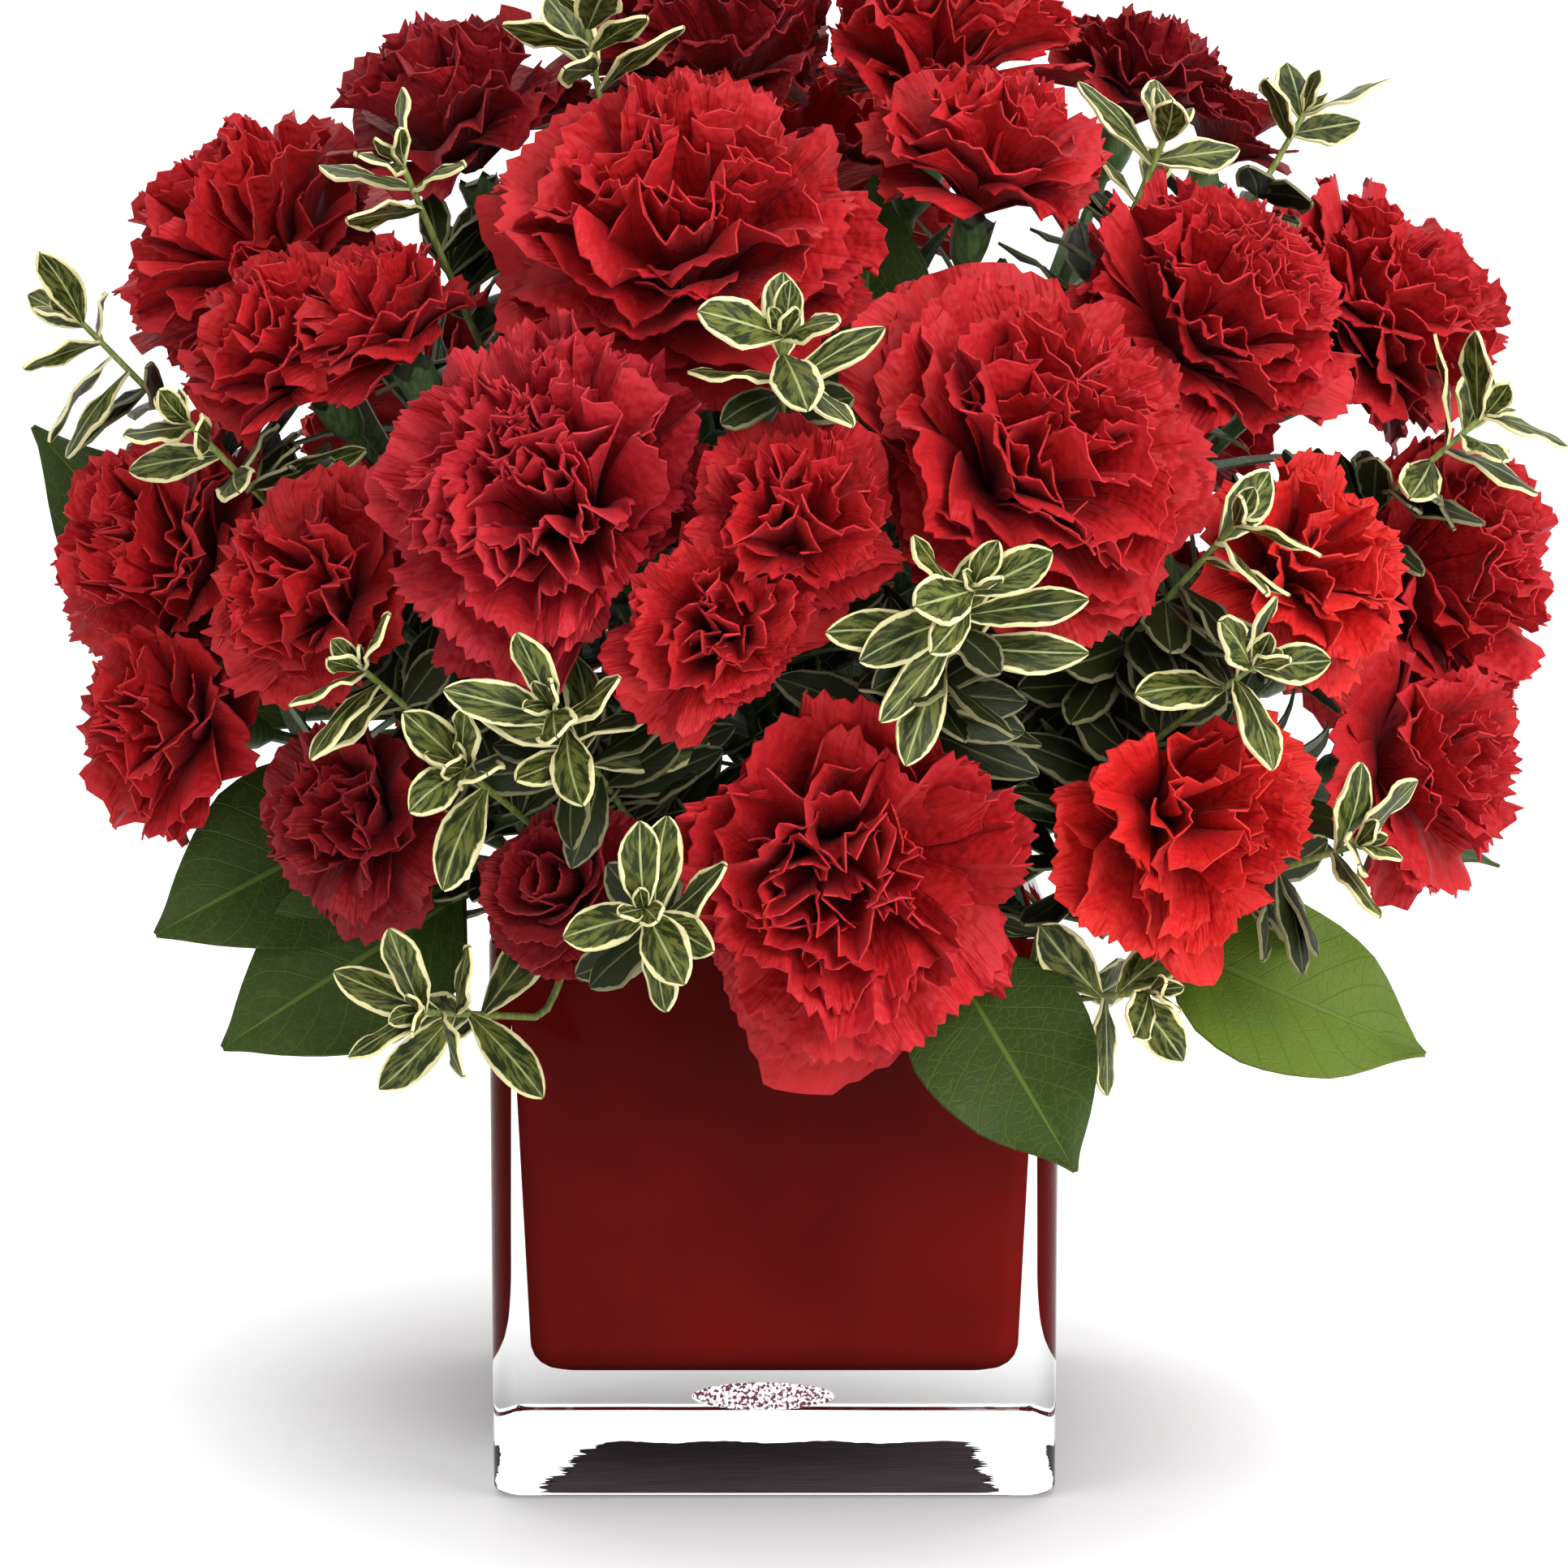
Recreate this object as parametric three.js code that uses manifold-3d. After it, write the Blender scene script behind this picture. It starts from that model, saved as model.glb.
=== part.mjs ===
// Red carnations in a square glass vase: a clear, heavy-based glass cube with a red lining,
// a block of florist's foam inside it, and a round bouquet of standard and spray carnations,
// cream-edged small-leaved sprigs and broad plain leaves, every stem of which stands in the foam.
//
// Millimetres, +Z up. The origin is the middle of the vase's underside, and -Y is the front.
import * as THREE from "three";
import { mergeVertices } from "three/addons/utils/BufferGeometryUtils.js";
import Module from "manifold-3d";

const wasm = await Module();
wasm.setup();

// Driving dimensions
const VASE = {
  side: 127,
  height: 127,
  base: 27, // the clear glass below the cavity
  corner: 6,
  wallAtRim: 4.5,
  wallAtFloor: 9,
  floorRound: 7, // where the cavity's floor meets its walls
  softEdge: 1.6, // of the foot and the rim
};
const LINING = { thickness: 1.2, gap: 0.3, belowRim: 0.6 };
const FOAM = { gap: 1, aboveRim: 14, chamfer: 9, corner: 4 };
const HEART = new THREE.Vector3(0, 0, 95); // inside the foam: every stem points here
const STEM = { standard: 2.2, spray: 1.5, sprig: 1.1, leafStalk: 1.2 };
const CALYX = {
  standard: { radius: 7.5, length: 24, sides: 8 },
  spray: { radius: 4.6, length: 15, sides: 6 },
};
// A calyx swells early from its stem and ends in pointed lobes; shares of its length and radius.
const CALYX_FORM = { swellsAt: 0.25, swollen: 0.75, lobes: 0.35 };
const TRUNK_SIDES = 6;
const SHOOT_SIDES = 4;
const CLEARANCE = 0.3; // between pieces that touch on the real thing
// How near the heart a stem ends, in a bunch or alone, and how deep in the foam it goes at least.
const DEPTH = { bunch: 15, single: 38, least: 13 };
const HOLE_SIDES = 4;
const RIM_ROOM = 6; // between the rim and the middle of the lowest stems
// Where a stem forks above the foam; its branches start back inside it, a little apart, and thinner.
const FORK = { above: 7, sink: 3, stagger: 0.9, thinner: 0.8 };
const HOLE_CLEARANCE = 0.35;
const HOLE_RUN = { below: 1, beyond: 3 }; // past the stem's end, and past the foam
const FRAMES = 200; // steps along a curve at which its sections can stand

// Petal tiers of a head, from the lowest to the crown. Each goes out to a frilled edge and back
// in to a crease; all are shares of the head's radius.
const TIERS = {
  standard: [
    { edge: [1.0, 0.34], crease: [0.56, 0.42] },
    { edge: [0.9, 0.66], crease: [0.44, 0.6] },
    { edge: [0.66, 0.9], crease: [0.28, 0.76] },
    { edge: [0.36, 1.02], crease: [0.09, 0.84] },
  ],
  spray: [
    { edge: [1.0, 0.36], crease: [0.52, 0.48] },
    { edge: [0.84, 0.78], crease: [0.34, 0.72] },
    { edge: [0.46, 1.02], crease: [0.1, 0.82] },
  ],
};
// Points round a head, then how far its teeth, ruffles and the splits between petals go as shares
// of its radius, how many points lie between splits, and how much of all that a crease shows.
const FRILL = {
  standard: 15,
  spray: 12,
  teeth: 0.1,
  ruffle: 0.055,
  split: 0.26,
  samples: 3,
  atCrease: 0.35,
};
const NECK = { radius: 0.12, sink: 0.06 };
const CENTRE_HEIGHT = 0.45; // the head's visual centre above its calyx, as a share of its radius
const HEAD_REACH = 1.14; // no petal reaches further than this share of the radius from the calyx
const NEIGHBOURLY = 1.25; // heads further apart than this share of their spreads never meet
const SHOOT_ROOM = THREE.MathUtils.degToRad(1.1); // round a shoot that passes between heads

// A head: its centre, radius and, where it doesn't simply face away from the heart, the way it
// faces as [degrees round from the front towards +X, degrees up].
const HEADS = {
  front_centre: { at: [14, -112, 151], radius: 46, faces: [8, -2] },
  mid_left: { at: [-46, -112, 230], radius: 41, faces: [-20, 28] },
  upper_centre: { at: [-20, -80, 284], radius: 45, faces: [-8, 54] },
  mid_right: { at: [54, -109, 238], radius: 43, faces: [24, 32] },
  upper_right: { at: [95, -62, 266], radius: 37, faces: [44, 44] },
  far_upper_right: { at: [142, -4, 263], radius: 37, faces: [76, 36] },
  far_right: { at: [154, -16, 205], radius: 39, faces: [66, 14] },
  far_left: { at: [-138, -38, 209], radius: 36, faces: [-56, 20] },
  far_upper_left: { at: [-120, -12, 280], radius: 38, faces: [-64, 42] },
  top_left: { at: [-12, -16, 324], radius: 37 },
  top_right: { at: [36, -20, 325], radius: 37 },
  back_centre: { at: [4, 120, 208], radius: 46 },
  back_left: { at: [-84, 94, 234], radius: 44 },
  back_right: { at: [88, 90, 238], radius: 44 },
  back_top: { at: [-2, 66, 292], radius: 48 },
  centre_high: { at: [4, -128, 225], radius: 26, small: true, faces: [2, 30] },
  centre_low: { at: [-11, -130, 204], radius: 25, small: true, faces: [-6, 18] },
  left: { at: [-99, -88, 207], radius: 29, small: true, faces: [-40, 20] },
  left_low: { at: [-136, -50, 175], radius: 28, small: true, faces: [-56, 12] },
  left_dark: { at: [-89, -92, 160], radius: 25, small: true, faces: [-34, 14] },
  left_curled: { at: [-44, -112, 147], radius: 22, small: true },
  left_high_outer: { at: [-106, -58, 259], radius: 28, small: true },
  left_high_inner: { at: [-84, -72, 265], radius: 24, small: true },
  left_top: { at: [-72, -30, 310], radius: 32, small: true },
  right_low: { at: [146, -46, 164], radius: 31, small: true, faces: [54, 8] },
  right_front: { at: [89, -100, 161], radius: 34, small: true, faces: [28, 10] },
  right: { at: [117, -77, 212], radius: 28, small: true, faces: [50, 24] },
  top_front: { at: [47, -62, 300], radius: 29, small: true },
  top_far: { at: [85, 8, 318], radius: 25, small: true },
  top_far_bud: { at: [105, 6, 304], radius: 18, small: true },
  back_low_left: { at: [-74, 112, 172], radius: 29, small: true },
  back_low_left_outer: { at: [-100, 90, 181], radius: 28, small: true },
  back_far_left: { at: [-136, 40, 196], radius: 31, small: true },
  back_low_right: { at: [76, 112, 174], radius: 29, small: true },
  back_low_right_outer: { at: [102, 88, 183], radius: 28, small: true },
  back_far_right: { at: [138, 42, 186], radius: 31, small: true },
};

// Heads that have grown into one another and share a node; each other head has its own.
const CLUSTERS = [
  ["centre_high", "centre_low"],
  ["left_high_outer", "left_high_inner"],
  ["top_far", "top_far_bud"],
  ["back_low_left", "back_low_left_outer"],
  ["back_low_right", "back_low_right_outer"],
];

// Standard carnations, one to a stem; the stems of a bunch meet at their cut ends in the foam.
const BUNCHES = {
  centre: ["mid_left", "upper_centre", "top_left", "left_curled"],
  front: ["front_centre", "mid_right", "upper_right"],
  right: ["far_upper_right", "far_right", "top_right"],
  left: ["far_upper_left", "far_left", "back_left"],
  back: ["back_centre", "back_right", "back_top"],
};

// Spray carnations: one stem that forks above the foam and carries several small heads.
const SPRAYS = {
  centre: ["centre_high", "centre_low"],
  left: ["left", "left_low", "left_dark"],
  left_high: ["left_high_outer", "left_high_inner", "left_top"],
  right: ["right", "right_front", "right_low"],
  top: ["top_front", "top_far", "top_far_bud"],
  back_left: ["back_low_left", "back_low_left_outer", "back_far_left"],
  back_right: ["back_low_right", "back_low_right_outer", "back_far_right"],
};

// Cream-edged leafy stems: where each side shoot ends, and how many leaves it has.
const SPRIG_STEMS = {
  left_high: [{ tip: [-158, -17, 262], leaves: 7 }, { tip: [-127, -68, 242], leaves: 7 }],
  top_left: [{ tip: [-80, -66, 297], leaves: 5 }, { tip: [-41, -52, 328], leaves: 6 }],
  centre: [{ tip: [2, -128, 263], leaves: 6 }, { tip: [40, -146, 213], leaves: 9 }],
  top_right: [{ tip: [86, -44, 303], leaves: 6 }, { tip: [121, -8, 309], leaves: 5 }],
  right: [{ tip: [158, -42, 242], leaves: 6 }, { tip: [96, -109, 223], leaves: 6 }],
  right_low: [
    { tip: [100, -113, 194], leaves: 5 },
    { tip: [124, -99, 154], leaves: 5 },
    { tip: [80, -108, 124], leaves: 7 },
  ],
  left_low: [
    { tip: [-86, -110, 193], leaves: 5 },
    { tip: [-64, -124, 174], leaves: 5 },
    { tip: [-74, -110, 120], leaves: 8 },
  ],
  front_left: [{ tip: [-26, -146, 148], leaves: 6 }, { tip: [-45, -136, 188], leaves: 9 }],
  back: [{ tip: [-42, 126, 250], leaves: 5 }, { tip: [46, 124, 252], leaves: 5 }],
};

// Broad leaves: each from the end of its stalk to its tip, with the way its face looks.
const BROAD_LEAF_STEMS = {
  left: [
    { from: [-112, 10, 166], to: [-174, 6, 236], looks: [-20, -60, 20], width: 42 },
    { from: [-88, 62, 146], to: [-132, 84, 122], looks: [-40, 30, 60], width: 42 },
  ],
  low_left: [
    { from: [-84, -52, 155], to: [-136, -70, 131], looks: [-30, -60, 20], width: 46 },
    { from: [-68, -69, 138], to: [-121, -79, 107], looks: [-10, -60, 30], width: 44 },
  ],
  low_right: [
    { from: [38, -90, 127], to: [63, -122, 90], looks: [10, -60, 20], width: 40 },
    { from: [86, -76, 128], to: [142, -84, 107], looks: [10, -60, 40], width: 42 },
  ],
  top: [
    { from: [18, -48, 234], to: [22, -58, 294], looks: [0, -60, 12], width: 34 },
    { from: [47, -46, 222], to: [50, -54, 276], looks: [0, -60, 12], width: 34 },
  ],
  back: [
    { from: [14, 102, 140], to: [22, 138, 110], looks: [0, 60, 20], width: 42 },
    { from: [84, 72, 143], to: [120, 98, 116], looks: [40, 40, 40], width: 42 },
    { from: [112, 8, 148], to: [170, -6, 138], looks: [30, -20, 60], width: 40 },
  ],
};
const LEAF = {
  sprigLength: 23,
  sprigWidth: 9.5,
  sprigThick: 1.1,
  sprigStep: 4.4, // between pairs
  sprigTurn: 1.45, // from one pair to the next, in radians
  sprigOpen: 40, // degrees from the shoot at its tip, and how much more at each lower pair
  sprigOpenStep: 15,
  sprigBare: 40, // the straight end of a shoot
  sprigFold: -0.12,
  sprigDroop: 0.1,
  broadThick: 1.2,
  broadFold: 0.14,
  broadDroop: 0.06,
  room: 3.4, // from a petal
  leastOpen: 20, // degrees from the shoot
  lengthsTried: [1, 0.8, 0.65],
};

const COLOURS = {
  glass: { color: 0xe6ebec, roughness: 0.04, metalness: 0 },
  lining: { color: 0x6a0f12, roughness: 0.25, metalness: 0 },
  foam: { color: 0x2f4a2c, roughness: 0.95, metalness: 0 },
  petal: { color: 0xb0141c, roughness: 0.7, metalness: 0 },
  darkPetal: { color: 0x8e0d17, roughness: 0.7, metalness: 0 },
  stem: { color: 0x55702f, roughness: 0.6, metalness: 0 },
  creamLeaf: { color: 0x7d8a4a, roughness: 0.5, metalness: 0 },
  broadLeaf: { color: 0x2e5222, roughness: 0.4, metalness: 0 },
};
const DARK_HEADS = ["top_left", "left_dark", "top_far", "left_curled", "left_low"];

// Small helpers

// A repeatable number from 0 to 1 for each n, used for every irregularity.
function chance(n) {
  const s = Math.sin(n * 12.9898 + 4.1414) * 43758.5453;
  return s - Math.floor(s);
}

function vector(xyz) {
  return new THREE.Vector3(...xyz);
}

// The unit vector that points `round` degrees from the front towards +X and `up` degrees up.
function facing([round, up]) {
  const a = THREE.MathUtils.degToRad(round);
  const e = THREE.MathUtils.degToRad(up);
  return new THREE.Vector3(Math.sin(a) * Math.cos(e), -Math.cos(a) * Math.cos(e), Math.sin(e));
}

function fromHeart(point) {
  return point.clone().sub(HEART).normalize();
}

function meanPoint(points) {
  return points.reduce((sum, p) => sum.add(p), new THREE.Vector3()).divideScalar(points.length);
}

function alongFromHeart(direction, distance) {
  return HEART.clone().addScaledVector(direction, distance);
}

// A solid skinned over a row of rings, each with as many points and turning anticlockwise seen from
// the last ring. A fan to a point in the middle of the first and the last ring closes it, and a
// ring of no width makes a point. Quads are split towards every second point, so that the two faces
// of a thin blade are split alike.
function skinned(rings, middles = [meanPoint(rings[0]), meanPoint(rings.at(-1))]) {
  const count = rings[0].length;
  const points = [...rings.flat(), ...middles];
  const first = points.length - 2;
  const last = points.length - 1;
  const top = (rings.length - 1) * count;
  const faces = [];
  for (let j = 0; j < count; j++) {
    const next = (j + 1) % count;
    faces.push([first, next, j], [last, top + j, top + next]);
    for (let low = 0; low < top; low += count) {
      const [a, b, c, d] = [low + j, low + next, low + count + next, low + count + j];
      if (j % 2) faces.push([a, b, d], [b, c, d]);
      else faces.push([a, b, c], [a, c, d]);
    }
  }
  const geometry = new THREE.BufferGeometry().setFromPoints(points);
  geometry.setIndex(faces.flat());
  const merged = mergeVertices(geometry, 1e-3);
  const index = merged.getIndex().array;
  const kept = [];
  for (let i = 0; i < index.length; i += 3) {
    const [a, b, c] = index.slice(i, i + 3);
    if (a !== b && b !== c && c !== a) kept.push(a, b, c);
  }
  return new wasm.Manifold(
    new wasm.Mesh({
      numProp: 3,
      vertProperties: merged.attributes.position.array,
      triVerts: new Uint32Array(kept),
    }),
  );
}

function joined(solids) {
  return solids.reduce((whole, next) => whole.add(next));
}

function geometryOf(manifold) {
  const mesh = manifold.getMesh();
  const geometry = new THREE.BufferGeometry();
  geometry.setAttribute("position", new THREE.BufferAttribute(mesh.vertProperties, 3));
  geometry.setIndex(new THREE.BufferAttribute(mesh.triVerts, 1));
  geometry.computeVertexNormals();
  return geometry;
}

// Adds a mesh to a group. Its geometry is given from `pivot`, a point of the whole arrangement.
function place(group, name, solid, finish, pivot = group.position) {
  const material = new THREE.MeshStandardMaterial(COLOURS[finish]);
  const mesh = new THREE.Mesh(geometryOf(solid), material);
  mesh.name = name;
  mesh.position.copy(pivot).sub(group.position);
  group.add(mesh);
}

function groupNamed(name, at = new THREE.Vector3()) {
  const group = new THREE.Group();
  group.name = name;
  group.position.copy(at);
  return group;
}

// The vase, its lining and the foam are stacks of rounded squares.

function roundedSquare(half, corner, z, perCorner = 4) {
  const points = [];
  for (let c = 0; c < 4; c++) {
    for (let i = 0; i < perCorner; i++) {
      const a = ((c + i / (perCorner - 1)) * Math.PI) / 2;
      const cx = (half - corner) * (c === 0 || c === 3 ? 1 : -1);
      const cy = (half - corner) * (c < 2 ? 1 : -1);
      points.push(new THREE.Vector3(cx + corner * Math.cos(a), cy + corner * Math.sin(a), z));
    }
  }
  return points;
}

function squareStack(levels, perCorner = 4) {
  const sections = levels.map(([half, corner, z]) => roundedSquare(half, corner, z, perCorner));
  return skinned(sections);
}

// The half width of the vase's cavity at a height: it narrows towards the floor.
function cavityHalf(z) {
  const share = (z - VASE.base) / (VASE.height - VASE.base);
  const wall = THREE.MathUtils.lerp(VASE.wallAtFloor, VASE.wallAtRim, share);
  return VASE.side / 2 - wall;
}

// The cavity's form, shrunk by `inset`, up to `top`.
function cavity(inset, top) {
  const floor = VASE.base + inset;
  const round = VASE.floorRound;
  return squareStack([
    [cavityHalf(floor) - inset - round * 0.9, VASE.corner, floor],
    [cavityHalf(floor) - inset - round * 0.25, VASE.corner, floor + round * 0.3],
    [cavityHalf(floor + round) - inset, VASE.corner, floor + round],
    [cavityHalf(top) - inset, VASE.corner, top],
  ]);
}

function vaseGlass() {
  const half = VASE.side / 2;
  const soft = VASE.softEdge;
  const body = squareStack([
    [half - soft, VASE.corner - soft, 0],
    [half - soft * 0.3, VASE.corner - soft * 0.3, soft * 0.3],
    [half, VASE.corner, soft],
    [half, VASE.corner, VASE.height - soft],
    [half - soft * 0.6, VASE.corner - soft * 0.6, VASE.height],
  ]);
  return body.subtract(cavity(0, VASE.height + 1));
}

function vaseLining() {
  const top = VASE.height - LINING.belowRim;
  return cavity(LINING.gap, top).subtract(cavity(LINING.gap + LINING.thickness, top + 1));
}

function foamBlock() {
  const inset = LINING.gap + LINING.thickness + FOAM.gap;
  const floor = VASE.base + inset - FOAM.gap + CLEARANCE;
  const top = VASE.height + FOAM.aboveRim;
  const low = floor + FOAM.chamfer;
  const wide = cavityHalf(VASE.height) - inset;
  const levels = [
    [cavityHalf(floor) - inset - VASE.floorRound, FOAM.corner, floor],
    [cavityHalf(low) - inset, FOAM.corner, low],
    [wide, FOAM.corner, VASE.height],
    [wide, FOAM.corner, top - FOAM.chamfer],
    [wide - FOAM.chamfer, FOAM.corner, top],
  ];
  return squareStack(levels, 2);
}

// A route made of lines and bends, and the share of its length at which each piece ends.
function route(pieces) {
  const curve = new THREE.CurvePath();
  pieces.forEach((piece) => curve.add(piece));
  const lengths = curve.getCurveLengths();
  return { curve, ends: lengths.map((l) => l / lengths.at(-1)) };
}

// A bend that leaves `from` along `way` and arrives at `to` along `axis`.
function bend(from, way, to, axis) {
  const third = from.distanceTo(to) / 3;
  const out = from.clone().addScaledVector(way, third);
  const back = to.clone().addScaledVector(axis, -third);
  return new THREE.CubicBezierCurve3(from, out, back, to);
}

// A stem is skinned over round sections along a curve, each with its own radius.
function taperedStem(curve, stations, sides) {
  const frames = curve.computeFrenetFrames(FRAMES);
  const rings = stations.map(([along, radius, teeth = 0]) => {
    const centre = curve.getPointAt(along);
    const frame = Math.round(along * FRAMES);
    const ring = [];
    for (let i = 0; i < sides; i++) {
      const a = (i / sides) * 2 * Math.PI;
      const point = centre.clone();
      point.addScaledVector(frames.normals[frame], radius * Math.cos(a));
      point.addScaledVector(frames.binormals[frame], radius * Math.sin(a));
      point.addScaledVector(frames.tangents[frame], i % 2 ? -teeth : 0);
      ring.push(point);
    }
    return ring;
  });
  return skinned(rings, [stations[0], stations.at(-1)].map(([along]) => curve.getPointAt(along)));
}

// The way a stem leaves the foam: straight out from the heart, but never so low as to touch the
// rim.
function exitDirection(target) {
  const way = target.clone().sub(HEART);
  const overRim = VASE.height + RIM_ROOM - HEART.z;
  const nearest = (Math.max(Math.abs(way.x), Math.abs(way.y)) * overRim) / (VASE.side / 2);
  way.z = Math.max(way.z, nearest);
  return way.normalize();
}

// How far from the heart a stem is clear of the foam.
function foamReach(way) {
  const half = cavityHalf(VASE.height);
  const top = VASE.height + FOAM.aboveRim - HEART.z;
  return Math.min(half / Math.abs(way.x), half / Math.abs(way.y), top / way.z) + 1;
}

// Heads

const heads = Object.entries(HEADS).map(([name, spec], index) => {
  const centre = vector(spec.at);
  const axis = spec.faces ? facing(spec.faces) : fromHeart(centre);
  const kind = spec.small ? "spray" : "standard";
  return {
    name,
    kind,
    index,
    centre,
    axis,
    radius: spec.radius,
    calyx: centre.clone().addScaledVector(axis, -CENTRE_HEIGHT * spec.radius),
    direction: fromHeart(centre),
    spread: Math.atan(spec.radius / centre.distanceTo(HEART)),
  };
});
const headNamed = Object.fromEntries(heads.map((h) => [h.name, h]));

function sameCluster(a, b) {
  return CLUSTERS.some((names) => names.includes(a.name) && names.includes(b.name));
}

// The plane through the heart that parts direction a from direction b, `share` of the way from a
// to b. Its normal points to b.
function partingPlane(a, b, share) {
  const angle = a.angleTo(b);
  const towardsB = b.clone().addScaledVector(a, -b.dot(a)).normalize();
  const turn = angle * share;
  return a.clone().multiplyScalar(-Math.sin(turn)).addScaledVector(towardsB, Math.cos(turn));
}

// Heads press against their neighbours and leave room for the shoots that pass between them.
function neighbourPlanes(head) {
  const planes = [];
  for (const other of heads) {
    if (other === head || sameCluster(head, other)) continue;
    const both = head.spread + other.spread;
    if (head.direction.angleTo(other.direction) > both * NEIGHBOURLY) continue;
    planes.push(partingPlane(head.direction, other.direction, head.spread / both));
  }
  for (const tip of shootTips) {
    const way = fromHeart(tip);
    const angle = head.direction.angleTo(way);
    if (angle > head.spread * NEIGHBOURLY || angle < SHOOT_ROOM * 2) continue;
    planes.push(partingPlane(head.direction, way, 1 - SHOOT_ROOM / angle));
  }
  return planes;
}

const shootTips = Object.values(SPRIG_STEMS).flatMap((shoots) => shoots.map((s) => vector(s.tip)));

for (const head of heads) head.planes = neighbourPlanes(head);

// How far from its calyx a head can spread in a direction.
function spreadTowards(head, direction) {
  let reach = HEAD_REACH * head.radius;
  for (const normal of head.planes) {
    const room = normal.dot(HEART) - normal.dot(head.calyx) - CLEARANCE / 2;
    const rate = normal.dot(direction);
    if (rate > 1e-6) reach = Math.min(reach, room / rate);
  }
  return reach;
}

// Draws a point of a head, given from its calyx, nearer to that where a neighbour is in the way.
// The pull depends only on the direction from the calyx, so petals stay in order and never cross.
function press(away, head) {
  const share = spreadTowards(head, away.clone().normalize()) / (HEAD_REACH * head.radius);
  return away.multiplyScalar(share);
}

// One frilled ring of a head in its own axes: teeth in and out, ruffles up and down, and a split
// between petals every few samples.
function frilledRing(head, tier, [radius, height], frill) {
  const count = FRILL[head.kind];
  const points = [];
  for (let i = 0; i < count; i++) {
    const seed = head.index * 97 + tier * 31 + i;
    const split = (i + tier) % FRILL.samples === 0 ? FRILL.split : 0;
    const tooth = FRILL.teeth * (chance(seed) - 0.4);
    const r = radius * (1 - frill * (split - tooth));
    const lift = FRILL.ruffle * frill * (i % 2 ? 1 : -1) * (0.6 + 0.8 * chance(seed + 0.5));
    const a = ((i + 0.35 * frill * (chance(seed + 0.7) - 0.5)) / count) * 2 * Math.PI;
    points.push(new THREE.Vector3(r * Math.cos(a), r * Math.sin(a), height + lift));
  }
  return points;
}

// A head as seen from `pivot`, its own calyx or that of the head it has grown into.
function flowerHead(head, pivot) {
  const rings = [frilledRing(head, 0, [NECK.radius, -NECK.sink], 0)];
  TIERS[head.kind].forEach((tier, t) => {
    rings.push(frilledRing(head, t, tier.edge, 1));
    rings.push(frilledRing(head, t, tier.crease, FRILL.atCrease));
  });
  const turn = new THREE.Quaternion().setFromUnitVectors(new THREE.Vector3(0, 0, 1), head.axis);
  const offset = head.calyx.clone().sub(pivot);
  const placed = (p) => press(p.multiplyScalar(head.radius).applyQuaternion(turn), head).add(offset);
  return skinned(rings.map((ring) => ring.map(placed)));
}

// The stem of one head: out of the foam from `root` if there is one, else from a fork, and then
// round into its calyx.
function headStem(head, from, way, root) {
  const { radius, length, sides } = CALYX[head.kind];
  const foot = head.calyx.clone().addScaledVector(head.axis, -length);
  const lip = head.calyx.clone().addScaledVector(head.axis, -CLEARANCE - NECK.sink * head.radius);
  const pieces = [bend(from, way, foot, head.axis), new THREE.LineCurve3(foot, lip)];
  if (root) pieces.unshift(new THREE.LineCurve3(root, from));
  const { curve, ends } = route(pieces);
  const thin = STEM[head.kind];
  const bare = ends.at(-2);
  const first = root ? ends[0] : 0;
  const start = root ? [[0, thin], [first, thin]] : [[0, thin * FORK.thinner]];
  const stations = [
    ...start,
    [(first + bare) / 2, thin],
    [bare, thin],
    [bare + (1 - bare) * CALYX_FORM.swellsAt, radius * CALYX_FORM.swollen],
    [1, radius, radius * CALYX_FORM.lobes],
  ];
  return taperedStem(curve, stations, sides);
}

function meanDirection(directions) {
  return directions.reduce((sum, d) => sum.add(d), new THREE.Vector3()).normalize();
}

// Plain holes in the foam, a little wider than the stems in them.
const holes = [];

function bore(from, to, radius) {
  const way = to.clone().sub(from).normalize();
  const bottom = from.clone().addScaledVector(way, -HOLE_RUN.below);
  const line = new THREE.LineCurve3(bottom, to.clone().addScaledVector(way, HOLE_RUN.beyond));
  const room = (radius + HOLE_CLEARANCE) / Math.cos(Math.PI / HOLE_SIDES);
  holes.push(taperedStem(line, [[0, room], [1, room]], HOLE_SIDES));
}

function bunchOfStems(names) {
  const members = names.map((n) => headNamed[n]);
  const exits = members.map((h) => exitDirection(h.calyx));
  const meeting = alongFromHeart(meanDirection(exits), DEPTH.bunch);
  return joined(
    members.map((h, i) => {
      const out = alongFromHeart(exits[i], foamReach(exits[i]));
      bore(meeting, out, STEM[h.kind]);
      return headStem(h, out, out.clone().sub(meeting).normalize(), meeting);
    }),
  );
}

// The trunk of a stem that forks above the foam, with a hole for it.
function trunkFor(ends, radius) {
  const way = exitDirection(alongFromHeart(meanDirection(ends.map(fromHeart)), 100));
  const reach = foamReach(way);
  const root = alongFromHeart(way, Math.min(DEPTH.single, reach - DEPTH.least));
  bore(root, alongFromHeart(way, reach), radius);
  const line = new THREE.LineCurve3(root, alongFromHeart(way, reach + FORK.above));
  const forks = reach + FORK.above - FORK.sink;
  const start = (branch) => alongFromHeart(way, forks - FORK.stagger * branch);
  return { start, way, solid: taperedStem(line, [[0, radius], [1, radius]], TRUNK_SIDES) };
}

function spray(names) {
  const members = names.map((n) => headNamed[n]);
  const trunk = trunkFor(members.map((h) => h.calyx), STEM.spray);
  return joined([trunk.solid, ...members.map((h, i) => headStem(h, trunk.start(i), trunk.way))]);
}

// Leaves

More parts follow.
